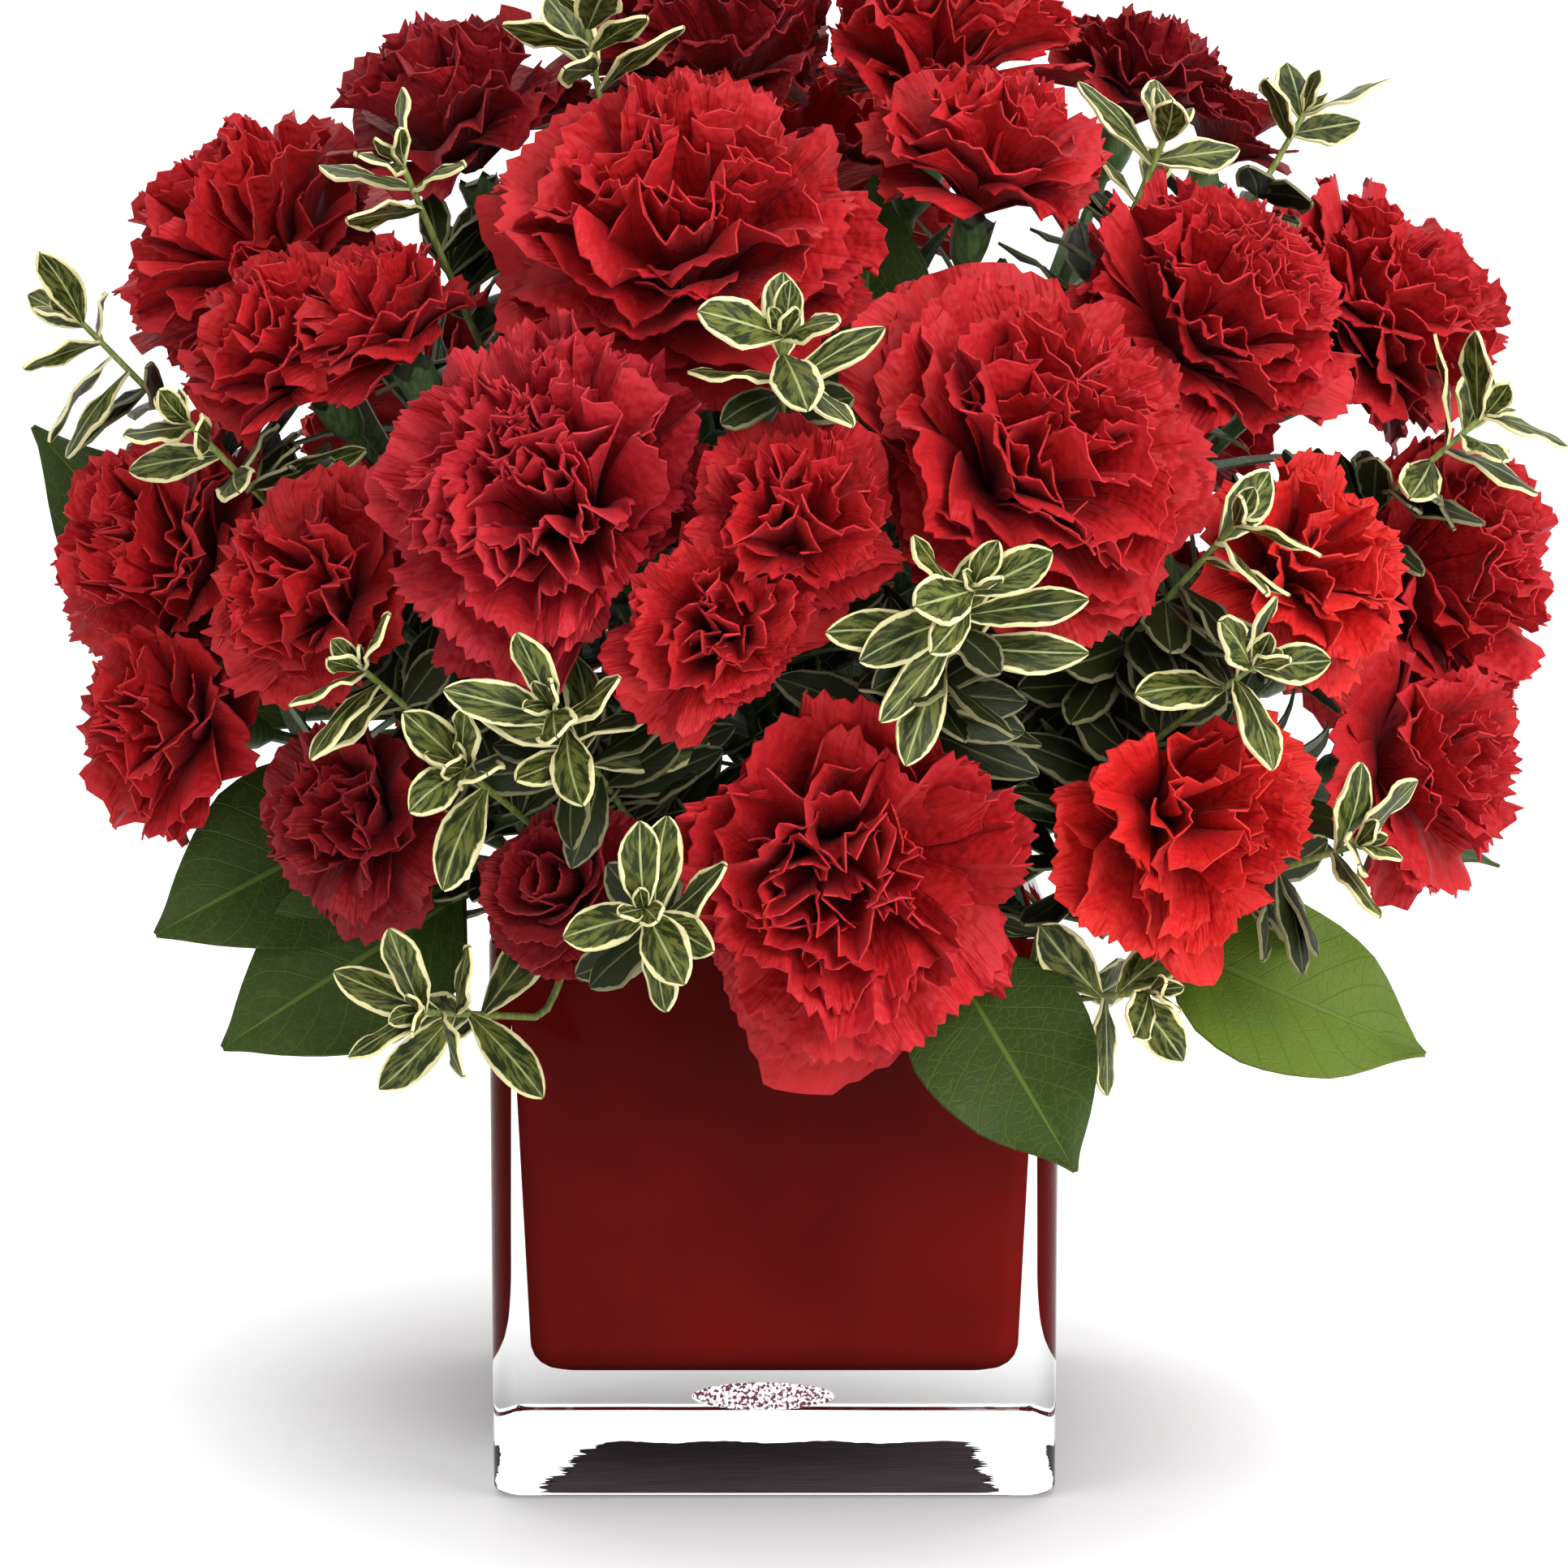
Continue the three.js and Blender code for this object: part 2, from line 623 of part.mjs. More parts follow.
// A blade: to each section two sharp sides, a rib above and, unless its underside is plain, a face
// below. If it has a stalk, that is skinned with it, as thick as it is wide.
function blade({ stalk, from, along, looks, length, width, thickness, stations, fold, droop, plain }) {
  const side = new THREE.Vector3().crossVectors(looks, along).normalize();
  const face = new THREE.Vector3().crossVectors(along, side).normalize();
  const section = (mid, half, thick, lift = 0, wave = 0) => {
    const point = (across, up) => mid.clone().addScaledVector(side, across).addScaledVector(face, up);
    const ring = [point(half, lift + wave), point(0, thick), point(-half, lift - wave)];
    return plain ? ring : [...ring, point(0, -thick)];
  };
  const rings = stations.map(([share, wide, wave = 0]) => {
    const half = (width / 2) * wide;
    const mid = from.clone().addScaledVector(along, length * share);
    mid.addScaledVector(face, -droop * length * share * share);
    const rib = wide > 0 ? thickness / (plain ? 1 : 2) : 0;
    return section(mid, half, rib, fold * half, wave * length);
  });
  if (!stalk) return skinned(rings);
  const r = STEM.leafStalk * FORK.thinner;
  const stalkRings = [0, 0.5, 1].map((t) => section(stalk.getPointAt(t), r, r));
  return skinned([...stalkRings, ...rings.slice(1)]);
}

// Along a leaf: the share of its length, of its width, and the wave of its edge.
const SPRIG_STATIONS = [
  [0, 0],
  [0.18, 0.2],
  [0.6, 1],
  [1, 0],
];
const BROAD_STATIONS = [
  [0, 0],
  [0.12, 0.62, 0.01],
  [0.4, 1, -0.015],
  [0.68, 0.76, 0.015],
  [0.88, 0.3, 0],
  [1, 0],
];

// Whether a point lies in a head or so near that a leaf there would touch it.
function inHead(point, head) {
  const away = point.clone().sub(head.calyx);
  const distance = away.length();
  if (away.dot(head.axis) < 0) return false;
  return distance < spreadTowards(head, away.divideScalar(distance)) + LEAF.room;
}

// Whether a leaf from a point along a direction stays out of every head, off the vase and nearer to
// its own shoot than to any other.
function isClear(from, direction, length, tip) {
  const half = VASE.side / 2 + 3;
  return [0.35, 0.6, 0.8, 1].every((share) => {
    const point = from.clone().addScaledVector(direction, share * length);
    const inVase = Math.max(Math.abs(point.x), Math.abs(point.y)) < half && point.z < VASE.height + 3;
    if (inVase || heads.some((h) => inHead(point, h))) return false;
    const own = point.distanceTo(tip) + LEAF.sprigWidth / 2;
    return shootTips.every((other) => other.equals(tip) || point.distanceTo(other) > own);
  });
}

// The way a leaf can lie and the length it can have there: as open as it likes and full length if
// nothing is in the way, else bent up, else shorter and bent up.
function clearWay({ from, axis, side, length, open, tip }) {
  for (const share of LEAF.lengthsTried) {
    for (let degrees = open; degrees > LEAF.leastOpen; degrees -= 4) {
      const a = THREE.MathUtils.degToRad(degrees);
      const along = axis.clone().multiplyScalar(Math.cos(a)).addScaledVector(side, Math.sin(a));
      if (isClear(from, along, length * share, tip)) return { along, length: length * share };
    }
  }
  return null;
}

// The leaves of one shoot, in pairs along its straight end, each pair turned on from the last.
function shootLeaves(tip, axis, count, seed) {
  const across = new THREE.Vector3(0, 0, 1).cross(axis).normalize();
  const made = [];
  for (let k = 0; k < count; k++) {
    const pair = Math.floor(k / 2);
    const jitter = chance(seed * 13 + k * 7);
    const from = tip.clone().addScaledVector(axis, -pair * LEAF.sprigStep - (k % 2) - 1);
    const around = pair * LEAF.sprigTurn + (k % 2) * Math.PI + 0.7 * (jitter - 0.5) + seed;
    const side = across.clone().applyAxisAngle(axis, around);
    const length = LEAF.sprigLength * (0.72 + 0.1 * pair + 0.3 * chance(seed * 5 + k * 3));
    const open = LEAF.sprigOpen + LEAF.sprigOpenStep * (pair + jitter);
    const placed = clearWay({ from, axis, side, length, open, tip });
    if (!placed) continue;
    made.push(
      blade({
        from,
        ...placed,
        looks: axis.clone().multiplyScalar(Math.sin(1)).addScaledVector(side, -Math.cos(1)),
        width: LEAF.sprigWidth * (0.85 + 0.3 * jitter),
        thickness: LEAF.sprigThick,
        stations: SPRIG_STATIONS,
        fold: LEAF.sprigFold,
        droop: LEAF.sprigDroop,
        plain: true,
      }),
    );
  }
  return made;
}

function leafySprigs(shoots, seed) {
  const tips = shoots.map((s) => vector(s.tip));
  const trunk = trunkFor(tips, STEM.sprig);
  const parts = shoots.flatMap((shoot, i) => {
    const tip = tips[i];
    const axis = fromHeart(tip);
    const below = tip.clone().addScaledVector(axis, -LEAF.sprigBare);
    const rise = bend(trunk.start(i), trunk.way, below, axis);
    const { curve, ends } = route([rise, new THREE.LineCurve3(below, tip)]);
    const thickness = (along) => STEM.sprig * (FORK.thinner - 0.1 * along);
    const stations = [0, ends[0] / 2, ends[0], 1].map((along) => [along, thickness(along)]);
    const leaves = shootLeaves(tip, axis, shoot.leaves, seed + i * 0.37);
    return [taperedStem(curve, stations, SHOOT_SIDES), ...leaves];
  });
  return joined([trunk.solid, ...parts]);
}

function broadLeaves(leaves) {
  const trunk = trunkFor(leaves.map((l) => vector(l.from)), STEM.leafStalk);
  const parts = leaves.map((leaf, i) => {
    const from = vector(leaf.from);
    const along = vector(leaf.to).sub(from);
    const length = along.length();
    along.normalize();
    const stalk = bend(trunk.start(i), trunk.way, from, along);
    return blade({
      stalk,
      from,
      along,
      looks: vector(leaf.looks),
      length,
      width: leaf.width,
      thickness: LEAF.broadThick,
      stations: BROAD_STATIONS,
      fold: LEAF.broadFold,
      droop: LEAF.broadDroop,
    });
  });
  return joined([trunk.solid, ...parts]);
}

// The whole: the vase with its lining and foam, the stems and leaves that stand in it, and the
// blooms, each hung at its calyx.

const vase = groupNamed("vase");
const stems = groupNamed("stems");
const foliage = groupNamed("foliage");
const blooms = groupNamed("blooms", HEART);

place(vase, "vase_glass", vaseGlass(), "glass");
place(vase, "vase_lining", vaseLining(), "lining");

for (const [name, names] of Object.entries(BUNCHES)) {
  place(stems, `stems_${name}`, bunchOfStems(names), "stem");
}
for (const [name, names] of Object.entries(SPRAYS)) {
  place(stems, `spray_stem_${name}`, spray(names), "stem");
}
Object.entries(SPRIG_STEMS).forEach(([name, shoots], i) => {
  place(foliage, `sprigs_${name}`, leafySprigs(shoots, i + 1), "creamLeaf");
});
for (const [name, leaves] of Object.entries(BROAD_LEAF_STEMS)) {
  place(foliage, `broad_leaves_${name}`, broadLeaves(leaves), "broadLeaf");
}

place(vase, "foam", foamBlock().subtract(joined(holes)), "foam");

const clustered = CLUSTERS.flat();
const singles = heads.filter((h) => !clustered.includes(h.name)).map((h) => [h.name]);
for (const names of [...singles, ...CLUSTERS]) {
  const pivot = headNamed[names[0]].calyx;
  const solid = joined(names.map((n) => flowerHead(headNamed[n], pivot)));
  const finish = DARK_HEADS.includes(names[0]) ? "darkPetal" : "petal";
  place(blooms, `bloom_${names[0]}`, solid, finish, pivot);
}

const arrangement = groupNamed("carnations_in_vase");
arrangement.add(vase, stems, foliage, blooms);

export default arrangement;
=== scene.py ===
"""Red carnations in a square glass vase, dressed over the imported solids.

Lengths in the tables are millimetres, as in the part's source; meshes are in metres, with +Z up, the
front towards -Y and the origin in the middle of the vase's underside.
"""

from __future__ import annotations

import logging
import math
from contextlib import contextmanager
from dataclasses import dataclass, field
from enum import Enum
from typing import Callable, Iterable, Iterator, Sequence

import bpy
import numpy as np
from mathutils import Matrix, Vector


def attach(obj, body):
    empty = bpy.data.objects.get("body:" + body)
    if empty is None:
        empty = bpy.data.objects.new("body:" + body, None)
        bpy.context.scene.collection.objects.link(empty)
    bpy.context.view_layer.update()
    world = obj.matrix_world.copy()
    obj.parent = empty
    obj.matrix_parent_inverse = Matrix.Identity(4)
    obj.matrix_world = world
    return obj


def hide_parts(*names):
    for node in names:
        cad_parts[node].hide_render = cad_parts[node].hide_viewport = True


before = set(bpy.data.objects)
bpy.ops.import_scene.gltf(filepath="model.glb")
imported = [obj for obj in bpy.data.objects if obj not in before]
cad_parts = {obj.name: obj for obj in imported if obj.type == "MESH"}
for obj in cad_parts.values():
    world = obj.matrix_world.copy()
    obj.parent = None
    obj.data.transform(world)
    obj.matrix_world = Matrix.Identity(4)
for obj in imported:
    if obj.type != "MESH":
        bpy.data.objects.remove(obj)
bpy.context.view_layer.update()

logging.basicConfig(level=logging.INFO, format="%(message)s")
LOG = logging.getLogger("carnations")

Array = np.ndarray
Material = bpy.types.Material
Object = bpy.types.Object
Socket = bpy.types.NodeSocket
Pair = tuple[float, float]
Triple = tuple[float, float, float]

MM = 0.001
UP = np.array([0.0, 0.0, 1.0])
FULL_TURN = 6.28
TINY = 1e-9
WELD = 0.01 * MM

# The vase's outer size and its wall at the rim
VASE_SIDE = 127.0
VASE_HEIGHT = 127.0
WALL_AT_RIM = 4.5

# The point in the foam that every stem comes from, and the least gap between two heads
HEART = np.array([0.0, 0.0, 95.0])
CLEARANCE = 0.3

# The shares of a leaf's length at which its place is tried out
LEAF_CHECKS = (0.35, 0.6, 0.8, 1)

# How round and how finely bent a stem is, and the angles from which an edge stays sharp
STEM_ROUNDNESS = 2
STEM_STEPS = 6
VASE_SHARP = 25
STEM_SHARP = 35
PETAL_SHARP = 50
LEAF_SHARP = 60


class Kind(Enum):
    """What sort of carnation a head is."""

    STANDARD = "standard"
    SPRAY = "spray"


class Tint(Enum):
    """The red of a bloom."""

    CRIMSON = "crimson"
    PINK = "pink"
    SCARLET = "scarlet"
    MAROON = "maroon"


class Habit(Enum):
    """How far a bloom has opened."""

    OPEN = "open"
    GUARDED = "guarded"
    CURLED = "curled"


def chance(n: float | Array) -> float | Array:
    """A repeatable number from 0 to 1 for each n, used for every irregularity."""
    s = np.sin(np.asarray(n) * 12.9898 + 4.1414) * 43758.5453
    return s - np.floor(s)


def luck(n: float) -> float:
    """A repeatable number from 0 to 1 for one n."""
    return float(chance(n))


def between(pair: Pair, share: float | Array) -> float | Array:
    """The number a share of the way from the first of a pair to the second."""
    return pair[0] + (pair[1] - pair[0]) * share


def norm(v: Array) -> float:
    """The length of a vector."""
    return float(np.linalg.norm(v))


def unit(v: Sequence[float] | Array) -> Array:
    """v, made one long."""
    a = np.asarray(v, float)
    return a / np.linalg.norm(a)


def facing(round_deg: float, up_deg: float) -> Array:
    """The unit vector so many degrees round from the front towards +X, and so many up."""
    a, e = math.radians(round_deg), math.radians(up_deg)
    return np.array([math.sin(a) * math.cos(e), -math.cos(a) * math.cos(e), math.sin(e)])


def from_heart(point: Array) -> Array:
    """The way from the bouquet's heart to a point."""
    return unit(point - HEART)


def angle_between(a: Array, b: Array) -> float:
    """The angle between two unit vectors, in radians."""
    return math.acos(max(-1.0, min(1.0, float(a @ b))))


def turned(v: Array, axis: Array, angle: float) -> Array:
    """v turned about a unit axis."""
    c, s = math.cos(angle), math.sin(angle)
    return v * c + np.cross(axis, v) * s + axis * float(axis @ v) * (1 - c)


def towards(axis: Array) -> Array:
    """The 3 x 3 rotation that brings +Z to a unit axis the shortest way."""
    cross = np.cross(UP, axis)
    if np.linalg.norm(cross) < TINY:
        return np.eye(3)
    k, angle = unit(cross), angle_between(UP, axis)
    return np.stack([turned(e, k, angle) for e in np.eye(3)], axis=1)


# The places of the heads, shoots and leaves


@dataclass
class Head:
    """A flower head: where its middle is, its radius and the way it faces.

    Without `faces` it looks straight away from the bouquet's heart.
    """

    at: Triple
    radius: float
    faces: Pair | None = None
    kind: Kind = Kind.STANDARD
    tint: Tint = Tint.CRIMSON
    habit: Habit = Habit.OPEN
    name: str = ""
    index: int = 0
    planes: Array = field(default_factory=lambda: np.zeros((0, 3)))

    centre_height = 0.45
    reach = 1.14

    @property
    def centre(self) -> Array:
        """The middle of the bloom."""
        return np.array(self.at, float)

    @property
    def axis(self) -> Array:
        """The way the bloom faces."""
        return facing(*self.faces) if self.faces else from_heart(self.centre)

    @property
    def calyx(self) -> Array:
        """The point that all of its petals come from."""
        return self.centre - self.axis * self.centre_height * self.radius

    @property
    def direction(self) -> Array:
        """The way from the bouquet's heart."""
        return from_heart(self.centre)

    @property
    def spread(self) -> float:
        """The angle that the bloom takes up, seen from the heart."""
        return math.atan(self.radius / norm(self.centre - HEART))

    def spread_towards(self, directions: Array) -> Array:
        """How far from its calyx the head can spread.

        Args:
            directions: unit vectors, one a row.

        Returns:
            A distance for each.
        """
        reach = np.full(len(directions), self.reach * self.radius)
        for normal in self.planes:
            room = normal @ HEART - normal @ self.calyx - CLEARANCE / 2
            rate = directions @ normal
            near = rate > TINY
            reach[near] = np.minimum(reach[near], room / rate[near])
        return reach

    def press(self, away: Array) -> Array:
        """Draws points, given from the calyx, nearer to it where a neighbour is in the way."""
        far = np.linalg.norm(away, axis=1)
        most = self.reach * self.radius
        away = away * np.minimum(1.0, most / np.maximum(far, TINY))[:, None]
        share = self.spread_towards(away / np.maximum(np.minimum(far, most), TINY)[:, None]) / most
        return away * share[:, None]


SMALL = {"kind": Kind.SPRAY}
HEADS = {
    "front_centre": Head((14, -112, 151), 46, (8, -2), habit=Habit.GUARDED),
    "mid_left": Head((-46, -112, 230), 41, (-20, 28), tint=Tint.PINK),
    "upper_centre": Head((-20, -80, 284), 45, (-8, 54), habit=Habit.GUARDED),
    "mid_right": Head((54, -109, 238), 43, (24, 32), habit=Habit.GUARDED),
    "upper_right": Head((95, -62, 266), 37, (44, 44)),
    "far_upper_right": Head((142, -4, 263), 37, (76, 36), habit=Habit.GUARDED),
    "far_right": Head((154, -16, 205), 39, (66, 14), habit=Habit.GUARDED),
    "far_left": Head((-138, -38, 209), 36, (-56, 20), habit=Habit.GUARDED),
    "far_upper_left": Head((-120, -12, 280), 38, (-64, 42), habit=Habit.GUARDED),
    "top_left": Head((-12, -16, 324), 37, tint=Tint.MAROON),
    "top_right": Head((36, -20, 325), 37),
    "back_centre": Head((4, 120, 208), 46, habit=Habit.GUARDED),
    "back_left": Head((-84, 94, 234), 44),
    "back_right": Head((88, 90, 238), 44, tint=Tint.PINK),
    "back_top": Head((-2, 66, 292), 48),
    "centre_high": Head((4, -128, 225), 26, (2, 30), **SMALL),
    "centre_low": Head((-11, -130, 204), 25, (-6, 18), **SMALL),
    "left": Head((-99, -88, 207), 29, (-40, 20), **SMALL),
    "left_low": Head((-136, -50, 175), 28, (-56, 12), **SMALL),
    "left_dark": Head((-89, -92, 160), 25, (-34, 14), tint=Tint.MAROON, **SMALL),
    "left_curled": Head((-44, -112, 147), 22, tint=Tint.MAROON, habit=Habit.CURLED, **SMALL),
    "left_high_outer": Head((-106, -58, 259), 28, **SMALL),
    "left_high_inner": Head((-84, -72, 265), 24, **SMALL),
    "left_top": Head((-72, -30, 310), 32, tint=Tint.MAROON, **SMALL),
    "right_low": Head((146, -46, 164), 31, (54, 8), **SMALL),
    "right_front": Head((89, -100, 161), 34, (28, 10), tint=Tint.SCARLET, **SMALL),
    "right": Head((117, -77, 212), 28, (50, 24), tint=Tint.SCARLET, **SMALL),
    "top_front": Head((47, -62, 300), 29, **SMALL),
    "top_far": Head((85, 8, 318), 25, tint=Tint.MAROON, **SMALL),
    "top_far_bud": Head((105, 6, 304), 18, tint=Tint.MAROON, habit=Habit.CURLED, **SMALL),
    "back_low_left": Head((-74, 112, 172), 29, **SMALL),
    "back_low_left_outer": Head((-100, 90, 181), 28, **SMALL),
    "back_far_left": Head((-136, 40, 196), 31, tint=Tint.SCARLET, **SMALL),
    "back_low_right": Head((76, 112, 174), 29, **SMALL),
    "back_low_right_outer": Head((102, 88, 183), 28, **SMALL),
    "back_far_right": Head((138, 42, 186), 31, **SMALL),
}
CLUSTERS = [
    ["centre_high", "centre_low"],
    ["left_high_outer", "left_high_inner"],
    ["top_far", "top_far_bud"],
    ["back_low_left", "back_low_left_outer"],
    ["back_low_right", "back_low_right_outer"],
]
BUNCHES = {
    "centre": ["mid_left", "upper_centre", "top_left", "left_curled"],
    "front": ["front_centre", "mid_right", "upper_right"],
    "right": ["far_upper_right", "far_right", "top_right"],
    "left": ["far_upper_left", "far_left", "back_left"],
    "back": ["back_centre", "back_right", "back_top"],
}
SPRAYS = {
    "centre": ["centre_high", "centre_low"],
    "left": ["left", "left_low", "left_dark"],
    "left_high": ["left_high_outer", "left_high_inner", "left_top"],
    "right": ["right", "right_front", "right_low"],
    "top": ["top_front", "top_far", "top_far_bud"],
    "back_left": ["back_low_left", "back_low_left_outer", "back_far_left"],
    "back_right": ["back_low_right", "back_low_right_outer", "back_far_right"],
}
SPRIG_STEMS = {
    "left_high": [((-158, -17, 262), 7), ((-127, -68, 242), 7)],
    "top_left": [((-80, -66, 297), 5), ((-41, -52, 328), 6)],
    "centre": [((2, -128, 263), 6), ((40, -146, 213), 9)],
    "top_right": [((86, -44, 303), 6), ((121, -8, 309), 5)],
    "right": [((158, -42, 242), 6), ((96, -109, 223), 6)],
    "right_low": [((100, -113, 194), 5), ((124, -99, 154), 5), ((80, -108, 124), 7)],
    "left_low": [((-86, -110, 193), 5), ((-64, -124, 174), 5), ((-74, -110, 120), 8)],
    "front_left": [((-26, -146, 148), 6), ((-45, -136, 188), 9)],
    "back": [((-42, 126, 250), 5), ((46, 124, 252), 5)],
}


@dataclass(frozen=True)
class BroadLeaf:
    """A broad leaf from the end of its stalk to its tip, with the way its face looks."""

    start: Triple
    tip: Triple
    looks: Triple
    width: float


BROAD_LEAF_STEMS = {
    "left": [
        BroadLeaf((-112, 10, 166), (-174, 6, 236), (-20, -60, 20), 42),
        BroadLeaf((-88, 62, 146), (-132, 84, 122), (-40, 30, 60), 42),
    ],
    "low_left": [
        BroadLeaf((-84, -52, 155), (-136, -70, 131), (-30, -60, 20), 46),
        BroadLeaf((-68, -69, 138), (-121, -79, 107), (-10, -60, 30), 44),
    ],
    "low_right": [
        BroadLeaf((38, -90, 127), (63, -122, 90), (10, -60, 20), 40),
        BroadLeaf((86, -76, 128), (142, -84, 107), (10, -60, 40), 42),
    ],
    "top": [
        BroadLeaf((18, -48, 234), (22, -58, 294), (0, -60, 12), 34),
        BroadLeaf((47, -46, 222), (50, -54, 276), (0, -60, 12), 34),
    ],
    "back": [
        BroadLeaf((14, 102, 140), (22, 138, 110), (0, 60, 20), 42),
        BroadLeaf((84, 72, 143), (120, 98, 116), (40, 40, 40), 42),
        BroadLeaf((112, 8, 148), (170, -6, 138), (30, -20, 60), 40),
    ],
}


@dataclass
class Arrangement:
    """Where everything stands, by the same rules as the part's source."""

    # How near two heads count as neighbours, as shares of their spreads, and a shoot's half room
    neighbourly: float = 1.25
    shoot_room: float = math.radians(1.1)
    # How far the foam, a low stem, the forks and a leaf keep above what is under them
    foam_above: float = 14
    rim_room: float = 6
    fork_above: float = 7
    fork_sink: float = 3
    fork_stagger: float = 0.9
    leaf_over_vase: float = 3
    # How far from the heart the cut ends of single and bunched stems are
    single_depth: float = 38
    least_depth: float = 13
    bunch_depth: float = 15
    heads: list[Head] = field(default_factory=list)
    tips: list[Array] = field(default_factory=list)

    def __post_init__(self) -> None:
        """Names the heads and settles the room that each one has."""
        for index, (name, head) in enumerate(HEADS.items()):
            head.name, head.index = name, index
            self.heads.append(head)
        self.tips = [np.array(tip, float) for shoots in SPRIG_STEMS.values() for tip, _ in shoots]
        for head in self.heads:
            head.planes = self._planes(head)

    @staticmethod
    def _parting(a: Array, b: Array, share: float) -> Array:
        """The normal of the plane through the heart that parts direction a from b."""
        turn = angle_between(a, b) * share
        return a * -math.sin(turn) + unit(b - a * (b @ a)) * math.cos(turn)

    def _planes(self, head: Head) -> Array:
        """The planes between a head and its neighbours, and round the shoots beside it."""
        planes = []
        for other in self.heads:
            together = any(head.name in names and other.name in names for names in CLUSTERS)
            if other is head or together:
                continue
            both = head.spread + other.spread
            if angle_between(head.direction, other.direction) <= both * self.neighbourly:
                planes.append(self._parting(head.direction, other.direction, head.spread / both))
        for tip in self.tips:
            way = from_heart(tip)
            angle = angle_between(head.direction, way)
            if self.shoot_room * 2 <= angle <= head.spread * self.neighbourly:
                planes.append(self._parting(head.direction, way, 1 - self.shoot_room / angle))
        return np.array(planes)

    def exit_direction(self, target: Array) -> Array:
        """The way a stem leaves the foam for its target, never so low as to touch the rim."""
        way = target - HEART
        over_rim = VASE_HEIGHT + self.rim_room - HEART[2]
        nearest = max(abs(way[0]), abs(way[1])) * over_rim / (VASE_SIDE / 2)
        return unit([way[0], way[1], max(way[2], nearest)])

    def foam_reach(self, way: Array) -> float:
        """How far from the heart a stem is clear of the foam."""
        half = VASE_SIDE / 2 - WALL_AT_RIM
        top = VASE_HEIGHT + self.foam_above - HEART[2]
        across = [half / abs(w) for w in way[:2] if abs(w) > TINY]
        return min([*across, top / way[2]]) + 1

    def trunk(self, ends: list[Array]) -> tuple[Array, Array, Array, float]:
        """The stem that carries several branches.

        Args:
            ends: what its branches lead to.

        Returns:
            Its cut end in the foam, its way, its top, and how far out it forks.
        """
        mean = unit(sum(from_heart(e) for e in ends))
        way = self.exit_direction(HEART + mean * 100)
        reach = self.foam_reach(way)
        root = HEART + way * min(self.single_depth, reach - self.least_depth)
        return root, way, HEART + way * (reach + self.fork_above), reach

    def branch_start(self, way: Array, reach: float, branch: int) -> Array:
        """Where a branch leaves its trunk."""
        return HEART + way * (reach + self.fork_above - self.fork_sink - self.fork_stagger * branch)

    def in_head(self, point: Array, head: Head, room: float) -> bool:
        """Whether a point lies in a head or nearer to it than `room`."""
        away = point - head.calyx
        distance = norm(away)
        if distance > head.reach * head.radius + room or away @ head.axis < 0:
            return False
        return distance < head.spread_towards((away / distance)[None])[0] + room

    def is_free(self, start: Array, run: Array, room: float, furthest: float = math.inf) -> bool:
        """Whether a leaf is clear of the heads and the vase.

        Args:
            start: its foot.
            run: from its foot to its tip.
            room: the least distance to a head; less than 0 lets it dip in among the petals.
            furthest: the most that it may be away from the heart; a leaf that has such a limit
                stays above the rim too.

        Returns:
            Whether it is.
        """
        half = VASE_SIDE / 2 + self.leaf_over_vase
        for share in LEAF_CHECKS:
            point = start + run * share
            over_vase = furthest < math.inf or max(abs(point[0]), abs(point[1])) < half
            if over_vase and point[2] < VASE_HEIGHT + self.leaf_over_vase:
                return False
            if norm(point - HEART) > furthest:
                return False
            if any(self.in_head(point, h, room) for h in self.heads):
                return False
        return True


# Modelling tools


def deselect() -> None:
    """Leaves object mode with nothing selected."""
    if bpy.context.object and bpy.context.object.mode != "OBJECT":
        bpy.ops.object.mode_set(mode="OBJECT")
    bpy.ops.object.select_all(action="DESELECT")


@contextmanager
def editing(chosen: str = "SELECT") -> Iterator[None]:
    """Edit mode, for as long as the block lasts, with everything or nothing selected."""
    bpy.ops.object.mode_set(mode="EDIT")
    bpy.ops.mesh.select_all(action=chosen)
    yield
    bpy.ops.object.mode_set(mode="OBJECT")


def extrude(step: Triple) -> None:
    """Extrudes what is selected by a step in metres."""
    bpy.ops.mesh.extrude_region_move(TRANSFORM_OT_translate={"value": step})


def widen(times: float, height: float) -> None:
    """Makes what is selected so many times as wide, about the upright axis at a height in metres."""
    bpy.ops.transform.resize(value=(times, times, 1), center_override=(0, 0, height))


def select_parts(parts: Iterable, wanted: Callable) -> None:
    """Selects the faces or edges of the active mesh that are wanted, and no others."""
    with editing("DESELECT"):
        pass
    for part in parts:
        part.select = wanted(part)


def select(objects: Iterable[Object]) -> None:
    """Selects these objects alone; the first is the active one."""
    deselect()
    chosen = list(objects)
    for obj in chosen:
        obj.select_set(True)
    bpy.context.view_layer.objects.active = chosen[0]


def apply_modifiers(obj: Object) -> None:
    """Applies every modifier of an object, in order."""
    select([obj])
    for name in [m.name for m in obj.modifiers]:
        bpy.ops.object.modifier_apply(modifier=name)


def join(name: str, objects: list[Object]) -> Object:
    """Joins objects into one with its place in its mesh."""
    select(objects)
    if len(objects) > 1:
        bpy.ops.object.join()
    bpy.ops.object.transform_apply(location=True, rotation=True, scale=True)
    joined = bpy.context.object
    joined.name = joined.data.name = name
    return joined


def finish_piece(obj: Object, nodes: Sequence[str], smooth: float = STEM_SHARP) -> None:
    """Smooths a piece and ties it to the frame.

    Args:
        obj: the piece.
        nodes: the CAD nodes that it stands for.
        smooth: edges sharper than this many degrees stay sharp.
    """
    select([obj])
    bpy.ops.object.shade_smooth_by_angle(angle=math.radians(smooth))
    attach(obj, "root")
    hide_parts(*nodes)
    obj.data.calc_loop_triangles()
    LOG.info("%s: %d triangles", obj.name, len(obj.data.loop_triangles))


